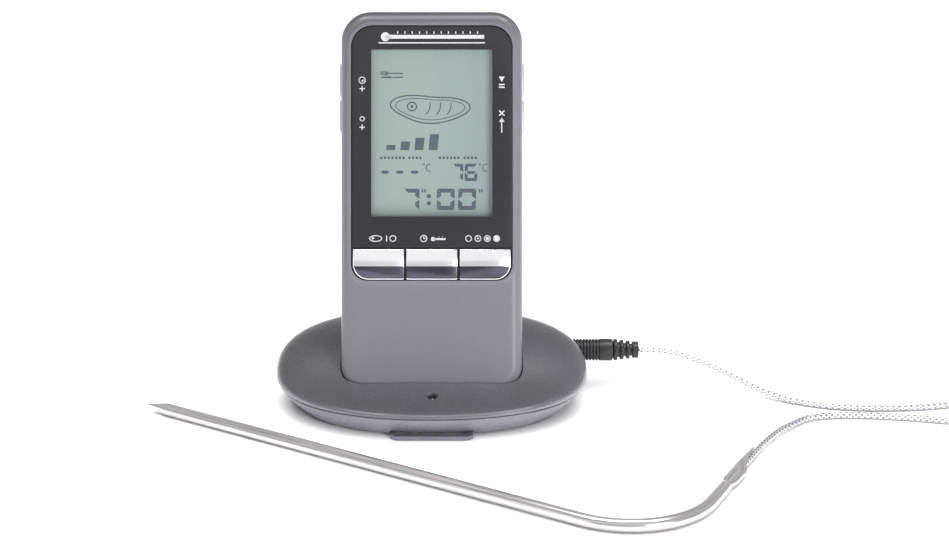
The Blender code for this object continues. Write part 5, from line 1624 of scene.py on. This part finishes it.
class ThermoLead(bpy.types.PropertyGroup):
    """Detail of the plug and its lead"""
    plug_ribs: IntProperty(name="Plug ribs", description="Fine ribs round the plug's grip",
                           default=10, min=0, max=10)
    coil_turns: FloatProperty(name="Coil turns", description="Turns of lead in the coil",
                              default=10.5, min=1.5, max=10.5)
    lead_sides: IntProperty(name="Lead sides", description="Sides of the lead's round mesh",
                            default=14, min=6)


class ThermoStudio(bpy.types.PropertyGroup):
    """Camera and light"""
    focal_length: FloatProperty(name="Focal length", description="Focal length of the camera",
                                default=73.97, min=1.0, unit="CAMERA")
    ambient: FloatProperty(name="Ambient", description="Strength of the even studio light",
                           default=0.12, min=0.0)
    key_power: FloatProperty(name="Key power", description="Power of the right soft box",
                             default=6.7, min=0.0, unit="POWER")
    spark_power: FloatProperty(name="Spark power", description="Power of the high strip lights",
                               default=3.0, min=0.0, unit="POWER")
    wash_power: FloatProperty(name="Wash power", description="Power of the light on the floor",
                              default=80.0, min=0.0, unit="POWER")


SETTINGS = {"thermo_finishes": ThermoFinishes, "thermo_edges": ThermoEdges,
            "thermo_lead": ThermoLead, "thermo_studio": ThermoStudio}


# ---- add-on: operators ------------------------------------------------------------------------
class THERMO_OT_finishes(bpy.types.Operator):
    """Mix the finishes that every piece takes"""
    bl_idname = "thermo.finishes"
    bl_label = "Finishes"

    def execute(self, context):
        make_finishes(context.scene.thermo_finishes)
        return {"FINISHED"}


class THERMO_OT_stage(bpy.types.Operator):
    """Camera, floor and studio light"""
    bl_idname = "thermo.stage"
    bl_label = "Stage"

    def execute(self, context):
        make_stage(context.scene.thermo_studio)
        return {"FINISHED"}


class THERMO_OT_plug_lead(bpy.types.Operator):
    """Moulded plug, braided lead and its tie"""
    bl_idname = "thermo.plug_lead"
    bl_label = "Plug and lead"

    def execute(self, context):
        make_plug(context.scene.thermo_lead)
        make_lead(context.scene.thermo_lead)
        return {"FINISHED"}


class THERMO_OT_probe(bpy.types.Operator):
    """Bent steel probe with its crimp"""
    bl_idname = "thermo.probe"
    bl_label = "Probe"

    def execute(self, context):
        make_probe()
        return {"FINISHED"}


class THERMO_OT_base(bpy.types.Operator):
    """Both shells of the transmitter base"""
    bl_idname = "thermo.base"
    bl_label = "Base"

    def execute(self, context):
        make_base_upper(context.scene.thermo_edges)
        make_base_lower(context.scene.thermo_edges)
        return {"FINISHED"}


class THERMO_OT_handset(bpy.types.Operator):
    """Front and back shell of the handset"""
    bl_idname = "thermo.handset"
    bl_label = "Handset case"

    def execute(self, context):
        make_case_front(context.scene.thermo_edges)
        make_case_back(context.scene.thermo_edges)
        return {"FINISHED"}


class THERMO_OT_display(bpy.types.Operator):
    """Black panel, lens, crystal and figures"""
    bl_idname = "thermo.display"
    bl_label = "Display"

    def execute(self, context):
        make_display()
        return {"FINISHED"}


class THERMO_OT_keys(bpy.types.Operator):
    """Front keys and side keys"""
    bl_idname = "thermo.keys"
    bl_label = "Keys"

    def execute(self, context):
        make_front_keys(context.scene.thermo_edges)
        make_side_keys(context.scene.thermo_edges)
        return {"FINISHED"}


class THERMO_OT_covers(bpy.types.Operator):
    """Battery doors and hanging loop"""
    bl_idname = "thermo.covers"
    bl_label = "Covers"

    def execute(self, context):
        make_covers(context.scene.thermo_edges)
        return {"FINISHED"}


class THERMO_OT_screws(bpy.types.Operator):
    """Cross-head screws of both housings"""
    bl_idname = "thermo.screws"
    bl_label = "Screws"

    def execute(self, context):
        make_screws()
        return {"FINISHED"}


class THERMO_OT_inner(bpy.types.Operator):
    """Boards, cells, contacts and switches"""
    bl_idname = "thermo.inner"
    bl_label = "Inner parts"

    def execute(self, context):
        make_inner_parts()
        return {"FINISHED"}


OPERATORS = [THERMO_OT_finishes, THERMO_OT_stage, THERMO_OT_plug_lead, THERMO_OT_probe,
             THERMO_OT_base, THERMO_OT_handset, THERMO_OT_display, THERMO_OT_keys,
             THERMO_OT_covers, THERMO_OT_screws, THERMO_OT_inner]


class THERMO_PT_panel(bpy.types.Panel):
    """Lists the settings and the steps that build the thermometer"""
    bl_label = "Thermometer"
    bl_idname = "THERMO_PT_panel"
    bl_space_type = "VIEW_3D"
    bl_region_type = "UI"
    bl_category = "Thermometer"

    def draw(self, context):
        for group in SETTINGS:
            settings = getattr(context.scene, group)
            for name in settings.__annotations__:
                self.layout.prop(settings, name)
        for cls in OPERATORS:
            self.layout.operator(cls.bl_idname)


CLASSES = [*SETTINGS.values(), *OPERATORS, THERMO_PT_panel]


def register():
    for cls in CLASSES:
        bpy.utils.register_class(cls)
    for name, cls in SETTINGS.items():
        setattr(bpy.types.Scene, name, PointerProperty(type=cls))


def unregister():
    for name in SETTINGS:
        delattr(bpy.types.Scene, name)
    for cls in reversed(CLASSES):
        bpy.utils.unregister_class(cls)


def main():
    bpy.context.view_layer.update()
    register()
    for cls in OPERATORS:
        group, name = cls.bl_idname.split(".")
        getattr(getattr(bpy.ops, group), name)()


if __name__ == "__main__":
    main()
